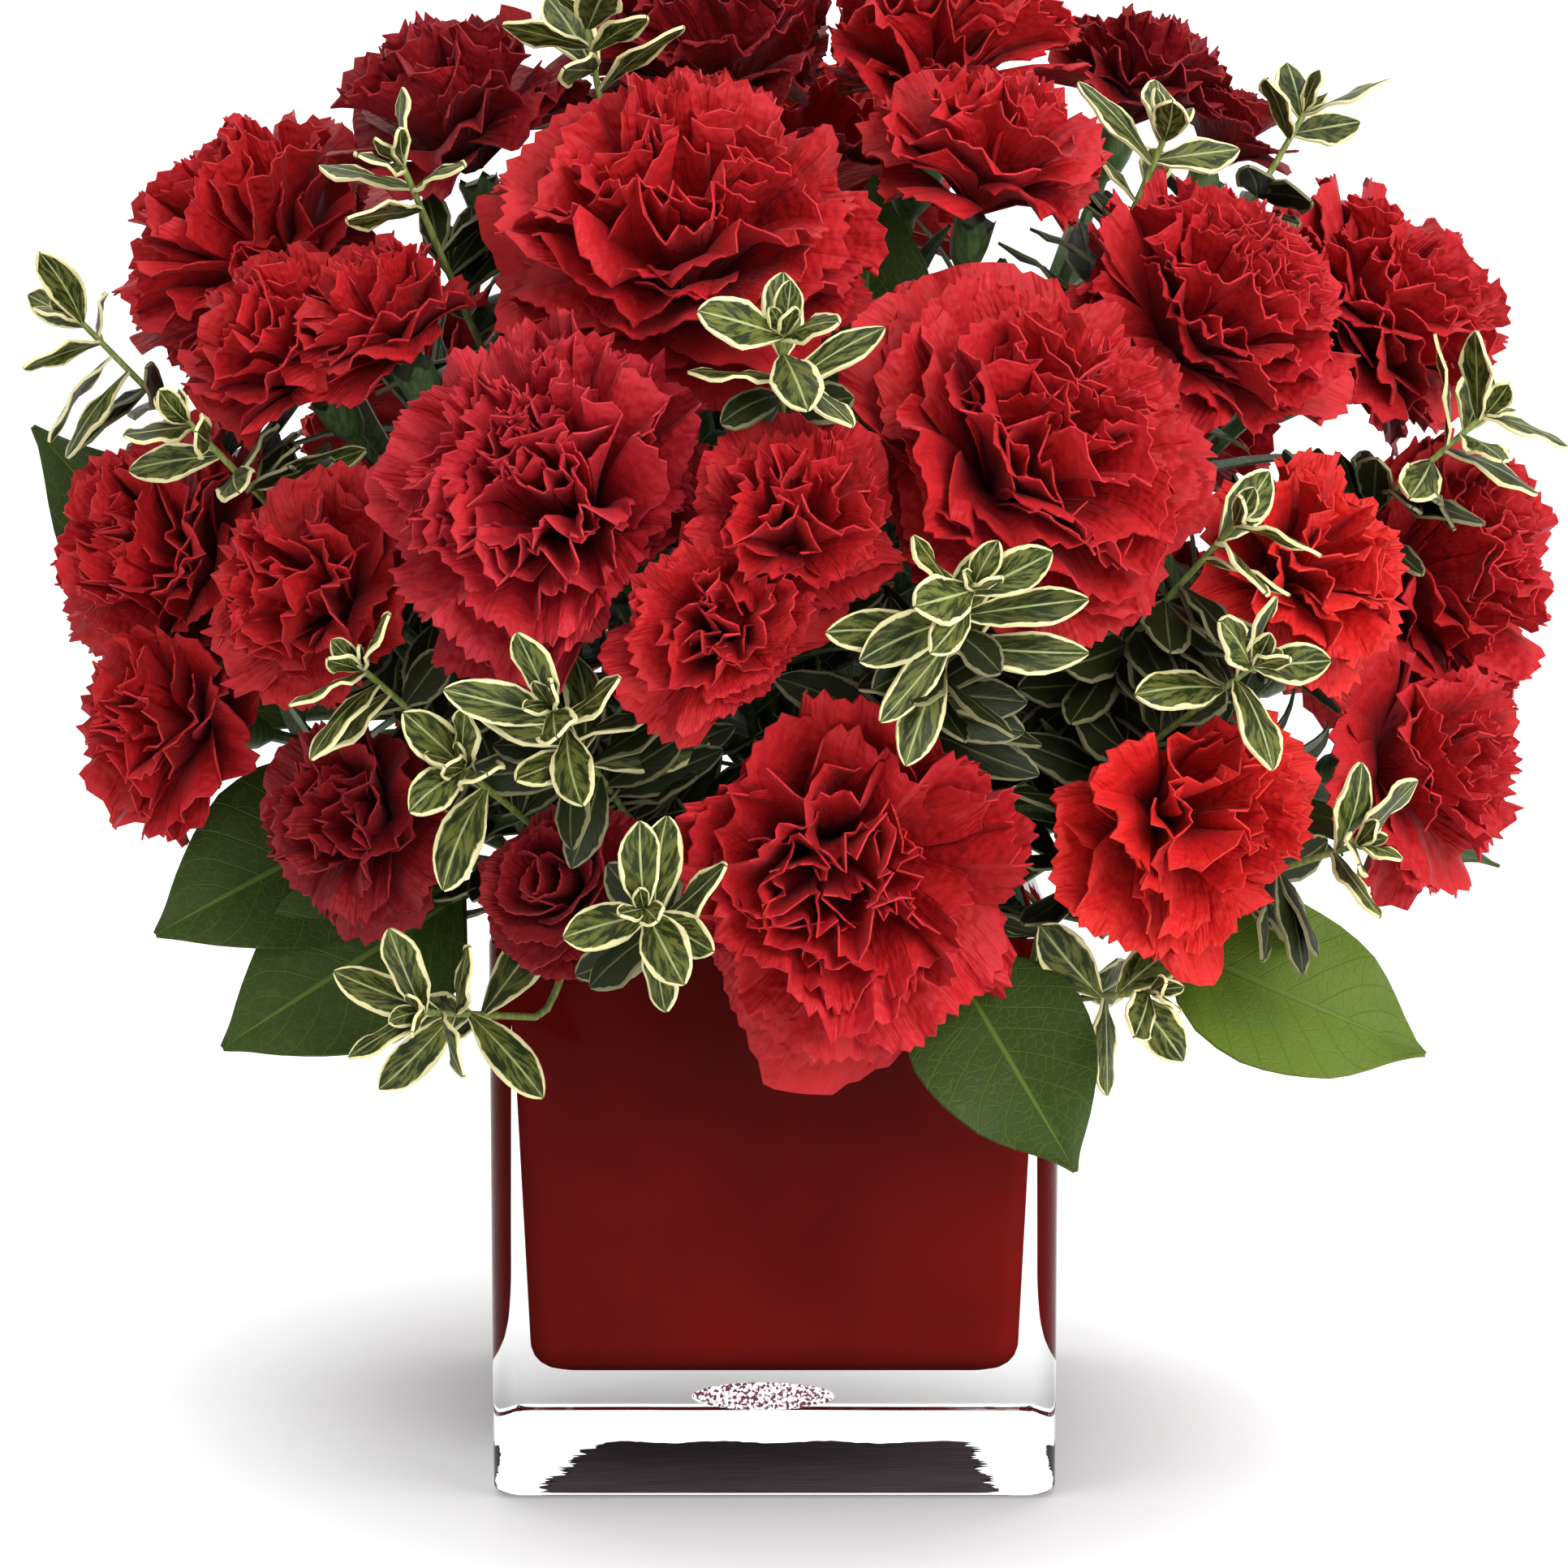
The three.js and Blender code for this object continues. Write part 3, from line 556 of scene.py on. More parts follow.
@dataclass
class Sheet:
    """A thin closed sheet to be bent into petals and leaves.

    It starts as a grid that gets its thickness from Solidify. Each point then has a place across
    from -1 to 1, a place along from 0 to 1, closer together towards 1, and the face, -1 or 1, that
    it lies on.
    """

    probe = 0.02

    columns: int
    rows: int
    across: Array = field(init=False)
    along: Array = field(init=False)
    face: Array = field(init=False)
    quads: Array = field(init=False)

    def __post_init__(self) -> None:
        """Makes the grid and keeps what its points and faces are."""
        deselect()
        bpy.ops.mesh.primitive_grid_add(x_subdivisions=self.columns, y_subdivisions=self.rows, size=2)
        grid = bpy.context.object
        skin = grid.modifiers.new("thickness", "SOLIDIFY")
        skin.thickness = 2
        skin.offset = 0
        apply_modifiers(grid)
        co = np.array([v.co for v in grid.data.vertices])
        self.across, self.face = co[:, 0], np.sign(co[:, 2])
        self.along = np.sin(np.clip((co[:, 1] + 1) / 2, 0, 1) * math.pi / 2)
        self.quads = np.array([list(p.vertices) for p in grid.data.polygons])
        self.columns = round(2 / float(np.diff(np.unique(np.round(self.across, 5))).min()))
        bpy.data.objects.remove(grid)

    def thicken(self, surface: Callable[[Array, Array], Array], thick: float) -> Array:
        """Bends the sheet onto surfaces, all at once.

        Args:
            surface: gives points (..., 3) for places across and along.
            thick: the sheet's thickness there.

        Returns:
            Points, one row of them for each surface.
        """
        u, v, step = self.across[None, :], self.along[None, :], self.probe
        middle = surface(u, v)
        over_u = surface(u + step, v) - surface(u - step, v)
        over_v = surface(u, np.minimum(v + step, 1)) - surface(u, np.maximum(v - step, 0))
        normal = np.cross(over_u, over_v)
        normal /= np.maximum(np.linalg.norm(normal, axis=-1, keepdims=True), TINY)
        return middle + normal * (self.face[None, :, None] * thick / 2)

    def mesh(self, name: str, points: Array, finish: Material, tone: Array) -> Object:
        """Makes one object of many bent sheets.

        Args:
            name: its name.
            points: in millimetres, one row of points for each sheet.
            finish: its material.
            tone: a number from 0 to 1 for each sheet, kept on its points for the material.

        Returns:
            The object.
        """
        sheets, count = points.shape[:2]
        faces = (self.quads[None] + (np.arange(sheets) * count)[:, None, None]).reshape(-1, 4)
        mesh = bpy.data.meshes.new(name)
        mesh.vertices.add(sheets * count)
        mesh.vertices.foreach_set("co", (points * MM).reshape(-1).astype(np.float32))
        mesh.loops.add(faces.size)
        mesh.loops.foreach_set("vertex_index", faces.reshape(-1).astype(np.int32))
        mesh.polygons.add(len(faces))
        mesh.polygons.foreach_set("loop_start", np.arange(0, faces.size, 4, dtype=np.int32))
        mesh.update(calc_edges=True)
        places = np.tile(np.stack([(self.across + 1) / 2, self.along], axis=1), (sheets, 1))
        layer = mesh.uv_layers.new(name="blade")
        layer.data.foreach_set("uv", places[faces.reshape(-1)].reshape(-1).astype(np.float32))
        mark = mesh.attributes.new("tone", "FLOAT", "POINT")
        mark.data.foreach_set("value", np.repeat(tone, count).astype(np.float32))
        mesh.materials.append(finish)
        obj = bpy.data.objects.new(name, mesh)
        bpy.context.scene.collection.objects.link(obj)
        return obj


@dataclass(frozen=True)
class Knot:
    """A point of a stem, with its handles and its radius there, in millimetres."""

    at: Array
    radius: float
    before: Array | None = None
    after: Array | None = None


def stem_along(knots: Sequence[Knot], finish: Material) -> Object:
    """A round stem with closed ends along Bezier knots.

    Args:
        knots: from its foot to its end. A knot without a handle points at the knot on that side.
        finish: its material.

    Returns:
        The stem as a mesh.
    """
    deselect()
    bpy.ops.curve.primitive_bezier_curve_add(location=(0, 0, 0))
    obj = bpy.context.object
    curve = obj.data
    curve.dimensions = "3D"
    curve.bevel_depth = MM
    curve.bevel_resolution = STEM_ROUNDNESS
    curve.resolution_u = STEM_STEPS
    curve.use_fill_caps = True
    points = curve.splines[0].bezier_points
    points.add(len(knots) - len(points))
    for i, (knot, point) in enumerate(zip(knots, points)):
        low = knots[max(i - 1, 0)].at
        high = knots[min(i + 1, len(knots) - 1)].at
        before = knot.before if knot.before is not None else knot.at + (low - knot.at) / 3
        after = knot.after if knot.after is not None else knot.at + (high - knot.at) / 3
        point.handle_left_type = point.handle_right_type = "FREE"
        point.co = Vector(knot.at * MM)
        point.handle_left = Vector(before * MM)
        point.handle_right = Vector(after * MM)
        point.radius = knot.radius
    bpy.ops.object.convert(target="MESH")
    stem = bpy.context.object
    with editing():
        bpy.ops.mesh.remove_doubles(threshold=WELD)
    stem.data.materials.clear()
    stem.data.materials.append(finish)
    return stem


def bent(start: Array, way: Array, end: Array, axis: Array) -> tuple[Array, Array]:
    """The handles of a bend that leaves `start` along `way` and arrives at `end` along `axis`."""
    third = norm(end - start) / 3
    return start + way * third, end - axis * third


def on_bend(bend: Sequence[Array], t: float) -> tuple[Array, Array]:
    """The point at a share t of a Bezier bend, and the way it runs there."""
    a, b, c, d = bend
    spot = a * (1 - t) ** 3 + b * 3 * t * (1 - t) ** 2 + c * 3 * t**2 * (1 - t) + d * t**3
    return spot, unit((b - a) * (1 - t) ** 2 + (c - b) * 2 * t * (1 - t) + (d - c) * t**2)


# Finishes


class Shader:
    """A node tree under construction, with short ways to add its nodes."""

    def __init__(self, name: str) -> None:
        """Starts a material that holds a Principled shader."""
        self.material = bpy.data.materials.new(name)
        self.material.use_nodes = True
        self.tree = self.material.node_tree
        self.surface = self.tree.nodes["Principled BSDF"]

    def set(self, **values: float | tuple) -> None:
        """Sets sockets of the Principled shader; underscores stand for spaces."""
        for key, value in values.items():
            self.surface.inputs[key.replace("_", " ")].default_value = value

    def add(self, kind: str, inputs: dict | None = None, **settings: object) -> bpy.types.Node:
        """Adds a node.

        Args:
            kind: its type, without the prefix.
            inputs: values or output sockets by socket name or number.
            settings: its own properties.

        Returns:
            The node.
        """
        node = self.tree.nodes.new("ShaderNode" + kind)
        for key, value in settings.items():
            setattr(node, key, value)
        for key, value in (inputs or {}).items():
            if isinstance(value, Socket):
                self.tree.links.new(value, node.inputs[key])
            else:
                node.inputs[key].default_value = value
        return node

    def link(self, output: Socket, socket: str) -> None:
        """Links an output to a socket of the Principled shader."""
        self.tree.links.new(output, self.surface.inputs[socket])

    def math(self, operation: str, a: object, b: object = 0.0, c: object = 0.0) -> Socket:
        """The result of a Math node."""
        return self.add("Math", {0: a, 1: b, 2: c}, operation=operation).outputs[0]

    def mix(self, share: object, a: object, b: object) -> Socket:
        """The result of a colour Mix node; a and b are sockets or colours without alpha."""
        a, b = ((*c, 1) if isinstance(c, tuple) else c for c in (a, b))
        return self.add("Mix", {0: share, 6: a, 7: b}, data_type="RGBA").outputs[2]

    def step(self, value: object, low: float, high: float, most: float = 1) -> Socket:
        """0 below `low`, `most` above `high` and smooth between."""
        inputs = {"Value": value, "From Min": low, "From Max": high, "To Max": most}
        return self.add("MapRange", inputs, interpolation_type="SMOOTHSTEP").outputs[0]

    def noise(self, scale: float, detail: float = 2, place: object = None, **extra: float) -> Socket:
        """Noise over Object coordinates, or over `place`."""
        where = place if place is not None else self.object_place()
        inputs = {"Vector": where, "Scale": scale, "Detail": detail, **extra}
        return self.add("TexNoise", inputs).outputs[0]

    def object_place(self) -> Socket:
        """Object coordinates."""
        return self.add("TexCoord").outputs["Object"]

    def blade_place(self) -> tuple[Socket, Socket, Socket]:
        """Places across and along a petal or leaf, and the tone of each, all from 0 to 1."""
        place = self.add("UVMap", uv_map="blade").outputs[0]
        parts = self.add("SeparateXYZ", {0: place})
        tone = self.add("Attribute", attribute_name="tone").outputs["Fac"]
        return parts.outputs[0], parts.outputs[1], tone

    def from_midrib(self, across: Socket) -> Socket:
        """How far a place is from the midrib of a leaf, 0 to 1."""
        return self.math("ABSOLUTE", self.math("MULTIPLY_ADD", across, 2.0, -1.0))

    def let_lamps_through(self) -> None:
        """Makes a glass clear to the lamps, so that it throws no black shadow."""
        shadow = self.add("LightPath").outputs["Is Shadow Ray"]
        clear = self.add("BsdfTransparent")
        both = self.add("MixShader", {0: shadow, 1: self.surface.outputs[0], 2: clear.outputs[0]})
        self.tree.links.new(both.outputs[0], self.tree.nodes["Material Output"].inputs[0])

    def bump(self, height: Socket, strength: float, distance: float) -> None:
        """Bumps the surface; the distance is in metres."""
        node = self.add("Bump", {"Height": height, "Strength": strength, "Distance": distance})
        self.link(node.outputs[0], "Normal")


@dataclass(frozen=True)
class PetalVelvet:
    """Velvety petal skin, finely veined: painted shade darkens its foot and a painted highlight brightens
    its pinked edge.
    """

    name: str
    deep: Triple
    body: Triple
    edge: Triple
    sheen: Triple = (1.0, 0.45, 0.5)

    def make(self) -> Material:
        """Builds the material."""
        s = Shader(self.name)
        across, along, tone = s.blade_place()
        # Painted shade: the petal darkens towards its foot, deep in the head.
        colour = s.mix(s.step(along, 0.25, 0.8), self.deep, self.body)
        # Painted highlight: the petal brightens towards its pinked edge.
        colour = s.mix(s.step(along, 0.9, 1.0, 0.6), colour, self.edge)
        colour = s.mix(s.step(tone, 0.55, 1.0, 0.3), colour, self.edge)
        colour = s.mix(s.step(tone, 0.45, 0.0, 0.35), colour, self.deep)
        colour = s.mix(s.step(s.noise(90, 1), 0.45, 0.65, 0.3), colour, self.deep)
        s.link(colour, "Base Color")
        # The veins are noise drawn out along the petal, with a pattern of its own for each tone.
        ways = ((across, 26), (along, 3.5), (tone, 9))
        fan = s.add("CombineXYZ", {i: s.math("MULTIPLY", *way) for i, way in enumerate(ways)})
        veins = s.noise(1.0, 2, fan.outputs[0], Roughness=0.65)
        crimps = s.noise(330, 1)
        s.bump(s.math("ADD", veins, s.math("MULTIPLY", crimps, 0.8)), 0.85, 0.0014)
        s.set(Roughness=0.58, Specular_IOR_Level=0.2)
        s.set(Sheen_Weight=0.05, Sheen_Roughness=0.4, Sheen_Tint=(*self.sheen, 1))
        return s.material


@dataclass(frozen=True)
class CreamEdgedLeaf:
    """Streaked grey-green leaf skin with a narrow cream margin and a pale midrib, painted dark as shade
    where its tone is low.
    """

    name: str = "cream_edged_leaf"
    cream: Triple = (0.66, 0.62, 0.32)
    grey: Triple = (0.1, 0.112, 0.02)
    green: Triple = (0.014, 0.022, 0.003)
    # The colour of painted shade, for leaves of low tone
    shade: Triple = (0.009, 0.013, 0.002)
    midrib: Triple = (0.3, 0.34, 0.14)

    def make(self) -> Material:
        """Builds the material."""
        s = Shader(self.name)
        across, along, tone = s.blade_place()
        side = s.from_midrib(across)
        margin = s.math("MULTIPLY_ADD", s.noise(260, 2), 0.36, side)
        margin = s.math("ADD", margin, s.step(along, 0.86, 1.0, 0.22))
        # The grain runs slanting away from the midrib and differs from leaf to leaf.
        slant = s.math("MULTIPLY_ADD", side, -2.2, s.math("MULTIPLY", along, 5.5))
        outwards, apart = s.math("MULTIPLY", side, 1.6), s.math("MULTIPLY", tone, 9)
        grain = s.add("CombineXYZ", {0: slant, 1: outwards, 2: apart})
        streak = s.step(s.noise(1.5, 4, grain.outputs[0], Roughness=0.62), 0.4, 0.58)
        middle = s.mix(streak, self.grey, self.green)
        # Painted shade: low tones darken the leaf towards the shade colour, most of all for the shaded
        # leaves at tone 0.
        middle = s.mix(s.step(tone, 0.35, 0.0, 0.8), middle, self.shade)
        middle = s.mix(s.step(side, 0.08, 0.02), middle, self.midrib)
        colour = s.mix(s.step(margin, 0.97, 1.05), middle, self.cream)
        # Painted shade: the shaded leaves, at tone 0, are darkened all over, cream margin too.
        colour = s.mix(s.step(tone, 0.09, 0.01, 0.75), colour, self.shade)
        s.link(colour, "Base Color")
        rib = s.step(side, 0.0, 0.14)
        s.bump(s.math("ADD", s.math("MULTIPLY", streak, 0.4), rib), 0.35, 0.0005)
        s.set(Roughness=0.48, Specular_IOR_Level=0.18)
        return s.material


@dataclass(frozen=True)
class BroadLeafSkin:
    """Leathery dark green leaf skin with a pale midrib, side veins and a fine net between them."""

    name: str = "broad_leaf"
    green: Triple = (0.018, 0.034, 0.004)
    young: Triple = (0.085, 0.13, 0.01)
    vein: Triple = (0.085, 0.13, 0.02)
    blotch: Triple = (0.03, 0.06, 0.012)

    def make(self) -> Material:
        """Builds the material."""
        s = Shader(self.name)
        across, along, tone = s.blade_place()
        side = s.from_midrib(across)
        run = s.math("MULTIPLY_ADD", side, -0.26, along)
        run = s.math("MULTIPLY_ADD", s.noise(60, 1), 0.05, run)
        # Side veins lie where this beat, eight and a half along the leaf, comes to its height.
        beat = s.math("FRACT", s.math("MULTIPLY", run, 8.5))
        beat = s.math("ABSOLUTE", s.math("SUBTRACT", beat, 0.5))
        net = s.add("TexVoronoi", {"Vector": s.object_place(), "Scale": 420}, feature="DISTANCE_TO_EDGE")
        veins = s.math("MAXIMUM", s.step(side, 0.05, 0.015), s.step(beat, 0.46, 0.5, 0.8))
        veins = s.math("MAXIMUM", veins, s.step(net.outputs[0], 0.09, 0.02, 0.2))
        base = s.mix(tone, self.green, self.young)
        base = s.mix(s.step(s.noise(45, 2), 0.45, 0.7, 0.4), base, self.blotch)
        s.link(s.mix(s.math("MULTIPLY", veins, 0.75), base, self.vein), "Base Color")
        s.bump(s.math("MULTIPLY", veins, -1.0), 0.5, 0.0006)
        s.set(Roughness=0.5, Specular_IOR_Level=0.15)
        return s.material


@dataclass(frozen=True)
class StemSkin:
    """Green stem skin with faint lengthwise streaks and a waxy bloom."""

    name: str
    green: Triple
    pale: Triple
    wax: Triple = (0.14, 0.19, 0.12)

    def make(self) -> Material:
        """Builds the material."""
        s = Shader(self.name)
        squeezed = s.add("Mapping", {"Vector": s.object_place(), "Scale": (900, 900, 60)})
        streaks = s.noise(1.0, 2, squeezed.outputs[0])
        colour = s.mix(s.step(streaks, 0.4, 0.65), self.green, self.pale)
        colour = s.mix(s.step(s.noise(55, 3), 0.45, 0.7, 0.25), colour, self.wax)
        s.link(colour, "Base Color")
        s.bump(streaks, 0.3, 0.0003)
        s.set(Roughness=0.5, Specular_IOR_Level=0.4)
        return s.material


@dataclass(frozen=True)
class ClearGlass:
    """Thick clear soda glass."""

    name: str = "clear_glass"

    def make(self) -> Material:
        """Builds the material."""
        s = Shader(self.name)
        s.bump(s.noise(30, 1), 0.06, 0.0008)
        s.set(Base_Color=(0.94, 0.945, 0.945, 1), Roughness=0.01, IOR=1.5, Transmission_Weight=1.0)
        s.set(Specular_Tint=(0.05, 0.05, 0.05, 1))
        s.let_lamps_through()
        return s.material


@dataclass(frozen=True)
class RedLining:
    """Deep red matt lining, faintly mottled: partly the coat's own mottling, partly painted shade of the
    stems and leaves.
    """

    name: str = "red_lining"
    red: Triple = (0.15, 0.005, 0.0042)
    dark: Triple = (0.11, 0.0038, 0.003)

    def make(self) -> Material:
        """Builds the material."""
        s = Shader(self.name)
        # The darker mottles are partly the coat's own and partly painted shade, standing in for the shadows
        # of the stems and leaves.
        s.link(s.mix(s.step(s.noise(28, 4), 0.35, 0.68), self.red, self.dark), "Base Color")
        s.bump(s.noise(120, 2), 0.12, 0.0006)
        s.set(Roughness=0.6, Specular_IOR_Level=0.0)
        return s.material


@dataclass(frozen=True)
class FloristsFoam:
    """Damp green foam, full of fine cells, with painted shade in their pits."""

    name: str = "foam"
    green: Triple = (0.035, 0.085, 0.03)
    damp: Triple = (0.018, 0.045, 0.018)
    pit_shade: Triple = (0.008, 0.02, 0.008)

    def make(self) -> Material:
        """Builds the material."""
        s = Shader(self.name)
        cells = s.add("TexVoronoi", {"Vector": s.object_place(), "Scale": 900}).outputs[0]
        colour = s.mix(s.step(s.noise(40, 3), 0.4, 0.65), self.green, self.damp)
        # Painted shade: the pits of the cells are darker.
        s.link(s.mix(s.step(cells, 0.5, 0.15), colour, self.pit_shade), "Base Color")
        s.bump(cells, 0.8, 0.0008)
        s.set(Roughness=0.9, Specular_IOR_Level=0.15)
        return s.material


@dataclass(frozen=True)
class PaintedBaseShadow:
    """Painted shadow, dark grey and streaked: the shaded table under the vase, seen through the base."""

    name: str = "painted_base_shadow"
    dark: Triple = (0.055, 0.043, 0.049)
    light: Triple = (0.085, 0.068, 0.075)

    def make(self) -> Material:
        """Builds the material."""
        s = Shader(self.name)
        stroke = s.add("Mapping", {"Vector": s.object_place(), "Scale": (60, 900, 1)})
        streaks = s.step(s.noise(1.0, 3, stroke.outputs[0]), 0.35, 0.7)
        s.link(s.mix(streaks, self.dark, self.light), "Base Color")
        s.set(Roughness=0.9, Specular_IOR_Level=0.0)
        return s.material


@dataclass(frozen=True)
class StippledFrost:
    """Frosted glass, stippled with dark red specks."""

    name: str = "stippled_frost"
    frost: Triple = (0.72, 0.68, 0.7)
    speck: Triple = (0.1, 0.02, 0.028)

    def make(self) -> Material:
        """Builds the material."""
        s = Shader(self.name)
        s.link(s.mix(s.step(s.noise(1500, 2), 0.5, 0.56), self.frost, self.speck), "Base Color")
        s.set(Roughness=0.7, Specular_IOR_Level=0.2)
        return s.material


@dataclass(frozen=True)
class StudioPaper:
    """White seamless paper with a painted contact shadow, darker near what stands on it, and a faint painted
    glow.
    """

    name: str = "studio_paper"
    contact_shadow: Triple = (0.3, 0.3, 0.3)
    white: Triple = (0.9, 0.9, 0.9)
    close_range: float = 0.12

    def make(self) -> Material:
        """Builds the material."""
        s = Shader(self.name)
        near = s.add("AmbientOcclusion", {"Distance": self.close_range}, samples=2).outputs["AO"]
        # Painted shadow: ambient occlusion darkens the paper's colour near what stands on it.
        s.link(s.mix(s.step(near, 0.35, 0.95), self.contact_shadow, self.white), "Base Color")
        s.set(Roughness=0.8, Specular_IOR_Level=0.1)
        # Painted light: the paper glows faintly, though it is no lamp, which lifts its shadows and lights
        # the bouquet from below.
        s.set(Emission_Color=(1, 1, 1, 1), Emission_Strength=0.08)
        s.bump(s.noise(800, 2), 0.05, 0.0002)
        return s.material


# The vase


@dataclass
class Vase:
    """The glass cube with its heavy base, the red lining inside it and the foam."""

    # The glass; the turns are degrees round a curve, from its lower to its upper end
    side: float = VASE_SIDE
    height: float = VASE_HEIGHT
    base: float = 27
    corner: float = 6
    corner_segments: int = 8
    wall_at_rim: float = WALL_AT_RIM
    wall_at_floor: float = 9
    floor_round: float = 7
    floor_turns: tuple[float, ...] = (8, 26, 44, 62, 80)
    floor_edge: float = 0.98
    soft_edge: float = 1.6
    edge_turns: tuple[float, ...] = (0, 22.5, 45, 67.5, 90)
    # How far out of the cavity's wall and how far down the lip's levels lie
    lip_steps: tuple[Pair, ...] = ((0.9, 0), (0.25, 0.3), (0, 1))
    # The coat on the inside
    lining_bite: float = 0.08
    lining_thickness: float = 1.5
    lining_below_rim: float = 0.6
    # The painted shadow patch under the base: its size, and the least and most that its edges stray
    patch_cells: tuple[int, int] = (60, 40)
    patch_half: Pair = (51, 43)
    patch_reach: Pair = (7.4, 77)
    patch_lift: float = 0.2
    patch_torn: Pair = (-2.2, 2.3)
    patch_sway: float = 1.6
    patch_jitter: Pair = (-0.7, 0.7)
    patch_slant: float = 2.0
    patch_calm_front: float = 0.3
    # The oval
    oval_at: Pair = (-2.5, 23.4)
    oval_size: Pair = (32, 6.4)
    oval_lift: float = 0.06
    mark_thickness: float = 0.05

    def cavity_half(self, z: float) -> float:
        """The half width of the cavity at a height."""
        share = (z - self.base) / (self.height - self.base)
        return self.side / 2 - between((self.wall_at_floor, self.wall_at_rim), share)

    def _cavity(self, inset: float, top: float) -> list[Pair]:
        """Half widths and heights of the cavity's form, shrunk by `inset`, from its floor up."""
        floor = self.base + inset
        r = self.floor_round
        wide = self.cavity_half(floor + r) - inset
        turns = [math.radians(a) for a in self.floor_turns]
        curve = [(wide - r * (1 - math.sin(t)), floor + r * (1 - math.cos(t))) for t in turns]
        edge, wall = (wide - r * self.floor_edge, floor), (self.cavity_half(top) - inset, top)
        return [edge, *curve, (wide, floor + r), wall]

    def _stack(self, name: str, levels: list[Pair], finish: Material) -> Object:
        """Extrudes a rounded square through levels, as a closed solid.

        Args:
            name: its name.
            levels: half widths and heights, along the whole profile.
            finish: its material.

        Returns:
            The solid.
        """
        deselect()
        half, z = levels[0]
        bpy.ops.mesh.primitive_plane_add(size=2 * half * MM, location=(0, 0, z * MM))
        obj = bpy.context.object
        bpy.ops.object.transform_apply(location=True)
        with editing():
            corner = self.corner * half / (self.side / 2) * MM
            bpy.ops.mesh.bevel(offset=corner, segments=self.corner_segments, affect="VERTICES")
            bpy.ops.mesh.select_all(action="SELECT")
            for wide, high in levels[1:]:
                extrude((0, 0, (high - z) * MM))
                widen(wide / half, high * MM)
                half, z = wide, high
            bpy.ops.mesh.select_all(action="SELECT")
            bpy.ops.mesh.remove_doubles(threshold=WELD)
            bpy.ops.mesh.normals_make_consistent(inside=False)
        obj.name = obj.data.name = name
        obj.data.materials.append(finish)
        return obj

    def build(self) -> None:
        """Makes the glass and the lining, and dresses the foam."""
        half, soft, top = self.side / 2, self.soft_edge, self.height
        turns = [math.radians(a) for a in self.edge_turns]
        foot = [(half - soft * (1 - math.sin(t)), soft * (1 - math.cos(t))) for t in turns]
        rim = [(half - soft * (1 - math.cos(t)), top - soft * (1 - math.sin(t))) for t in turns]
        lip = [(self.cavity_half(top) + out, top - down) for out, down in self.lip_steps]
        inside = [level for level in reversed(self._cavity(0, top)) if level[1] < lip[-1][1]]
        glass = self._stack("vase_clear_glass", [*foot, *rim, *lip, *inside], ClearGlass().make())
        finish_piece(glass, ["vase_glass"], VASE_SHARP)

        # The coat bites a hair into the glass, as it is fused to it and no air shows between them.
        edge = top - self.lining_below_rim
        outer = self._cavity(-self.lining_bite, edge)
        inner = list(reversed(self._cavity(self.lining_thickness, edge)))
        lining = self._stack("vase_red_lining", [*outer, *inner], RedLining().make())
        finish_piece(lining, ["vase_lining"], VASE_SHARP)

        self._painted_shadow_patch()
        self._oval_mark()
        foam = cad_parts["foam"]
        foam.data.materials.clear()
        foam.data.materials.append(FloristsFoam().make())
        LOG.info("foam: the solid, dressed")

    def _painted_shadow_patch(self) -> None:
        """A dark patch with ragged ends in the underside, seen through the heavy base: painted shadow of the
        shaded table.
        """
        deselect()
        columns, rows = self.patch_cells
        bpy.ops.mesh.primitive_grid_add(x_subdivisions=columns, y_subdivisions=rows, size=2)
        patch = bpy.context.object
        for vertex in patch.data.vertices:
            u, v = vertex.co.x, vertex.co.y
            row, column = round((v + 1) * rows / 2), round((u + 1) * columns / 2)
            # The high powers leave all but the last few rows and columns straight.
            torn = u**9 * between(self.patch_torn, luck(row * 1.7 + (u > 0)))
            sway = self.patch_sway * math.sin(column * 0.37)
            wavy = v**9 * (sway + between(self.patch_jitter, luck(column * 2.3)))
            across = u * between(self.patch_half, (v + 1) / 2) + torn + self.patch_slant * v * u**4
            calm = 1 if v > 0 else self.patch_calm_front
            deep = between(self.patch_reach, (v + 1) / 2) - self.side / 2 + wavy * calm
            vertex.co = Vector((across, deep, self.patch_lift)) * MM
        self._seal_mark(patch, "vase_painted_shadow_patch", PaintedBaseShadow().make())

    def _oval_mark(self) -> None:
        """The small stippled oval on the front of the heavy base, quite plain."""
        deselect()
        at = (self.oval_at[0] * MM, -(self.side / 2 + self.oval_lift) * MM, self.oval_at[1] * MM)
        upright = (math.pi / 2, 0, 0)
        bpy.ops.mesh.primitive_circle_add(
            vertices=64, radius=MM, fill_type="NGON", location=at, rotation=upright
        )
        bpy.ops.transform.resize(value=(self.oval_size[0] / 2, 1, self.oval_size[1] / 2), center_override=at)
        oval = bpy.context.object
        self._seal_mark(oval, "vase_oval_mark", StippledFrost().make())

    def _seal_mark(self, mark: Object, name: str, finish: Material) -> None:
        """Gives a flat mark a hair's thickness and ties it to the frame."""
        skin = mark.modifiers.new("thickness", "SOLIDIFY")
        skin.thickness = self.mark_thickness * MM
        skin.offset = 0
        apply_modifiers(mark)
        mark.data.materials.append(finish)
        mark = join(name, [mark])
        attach(mark, "root")
        LOG.info("%s: a mark on the glass", mark.name)


# The blooms


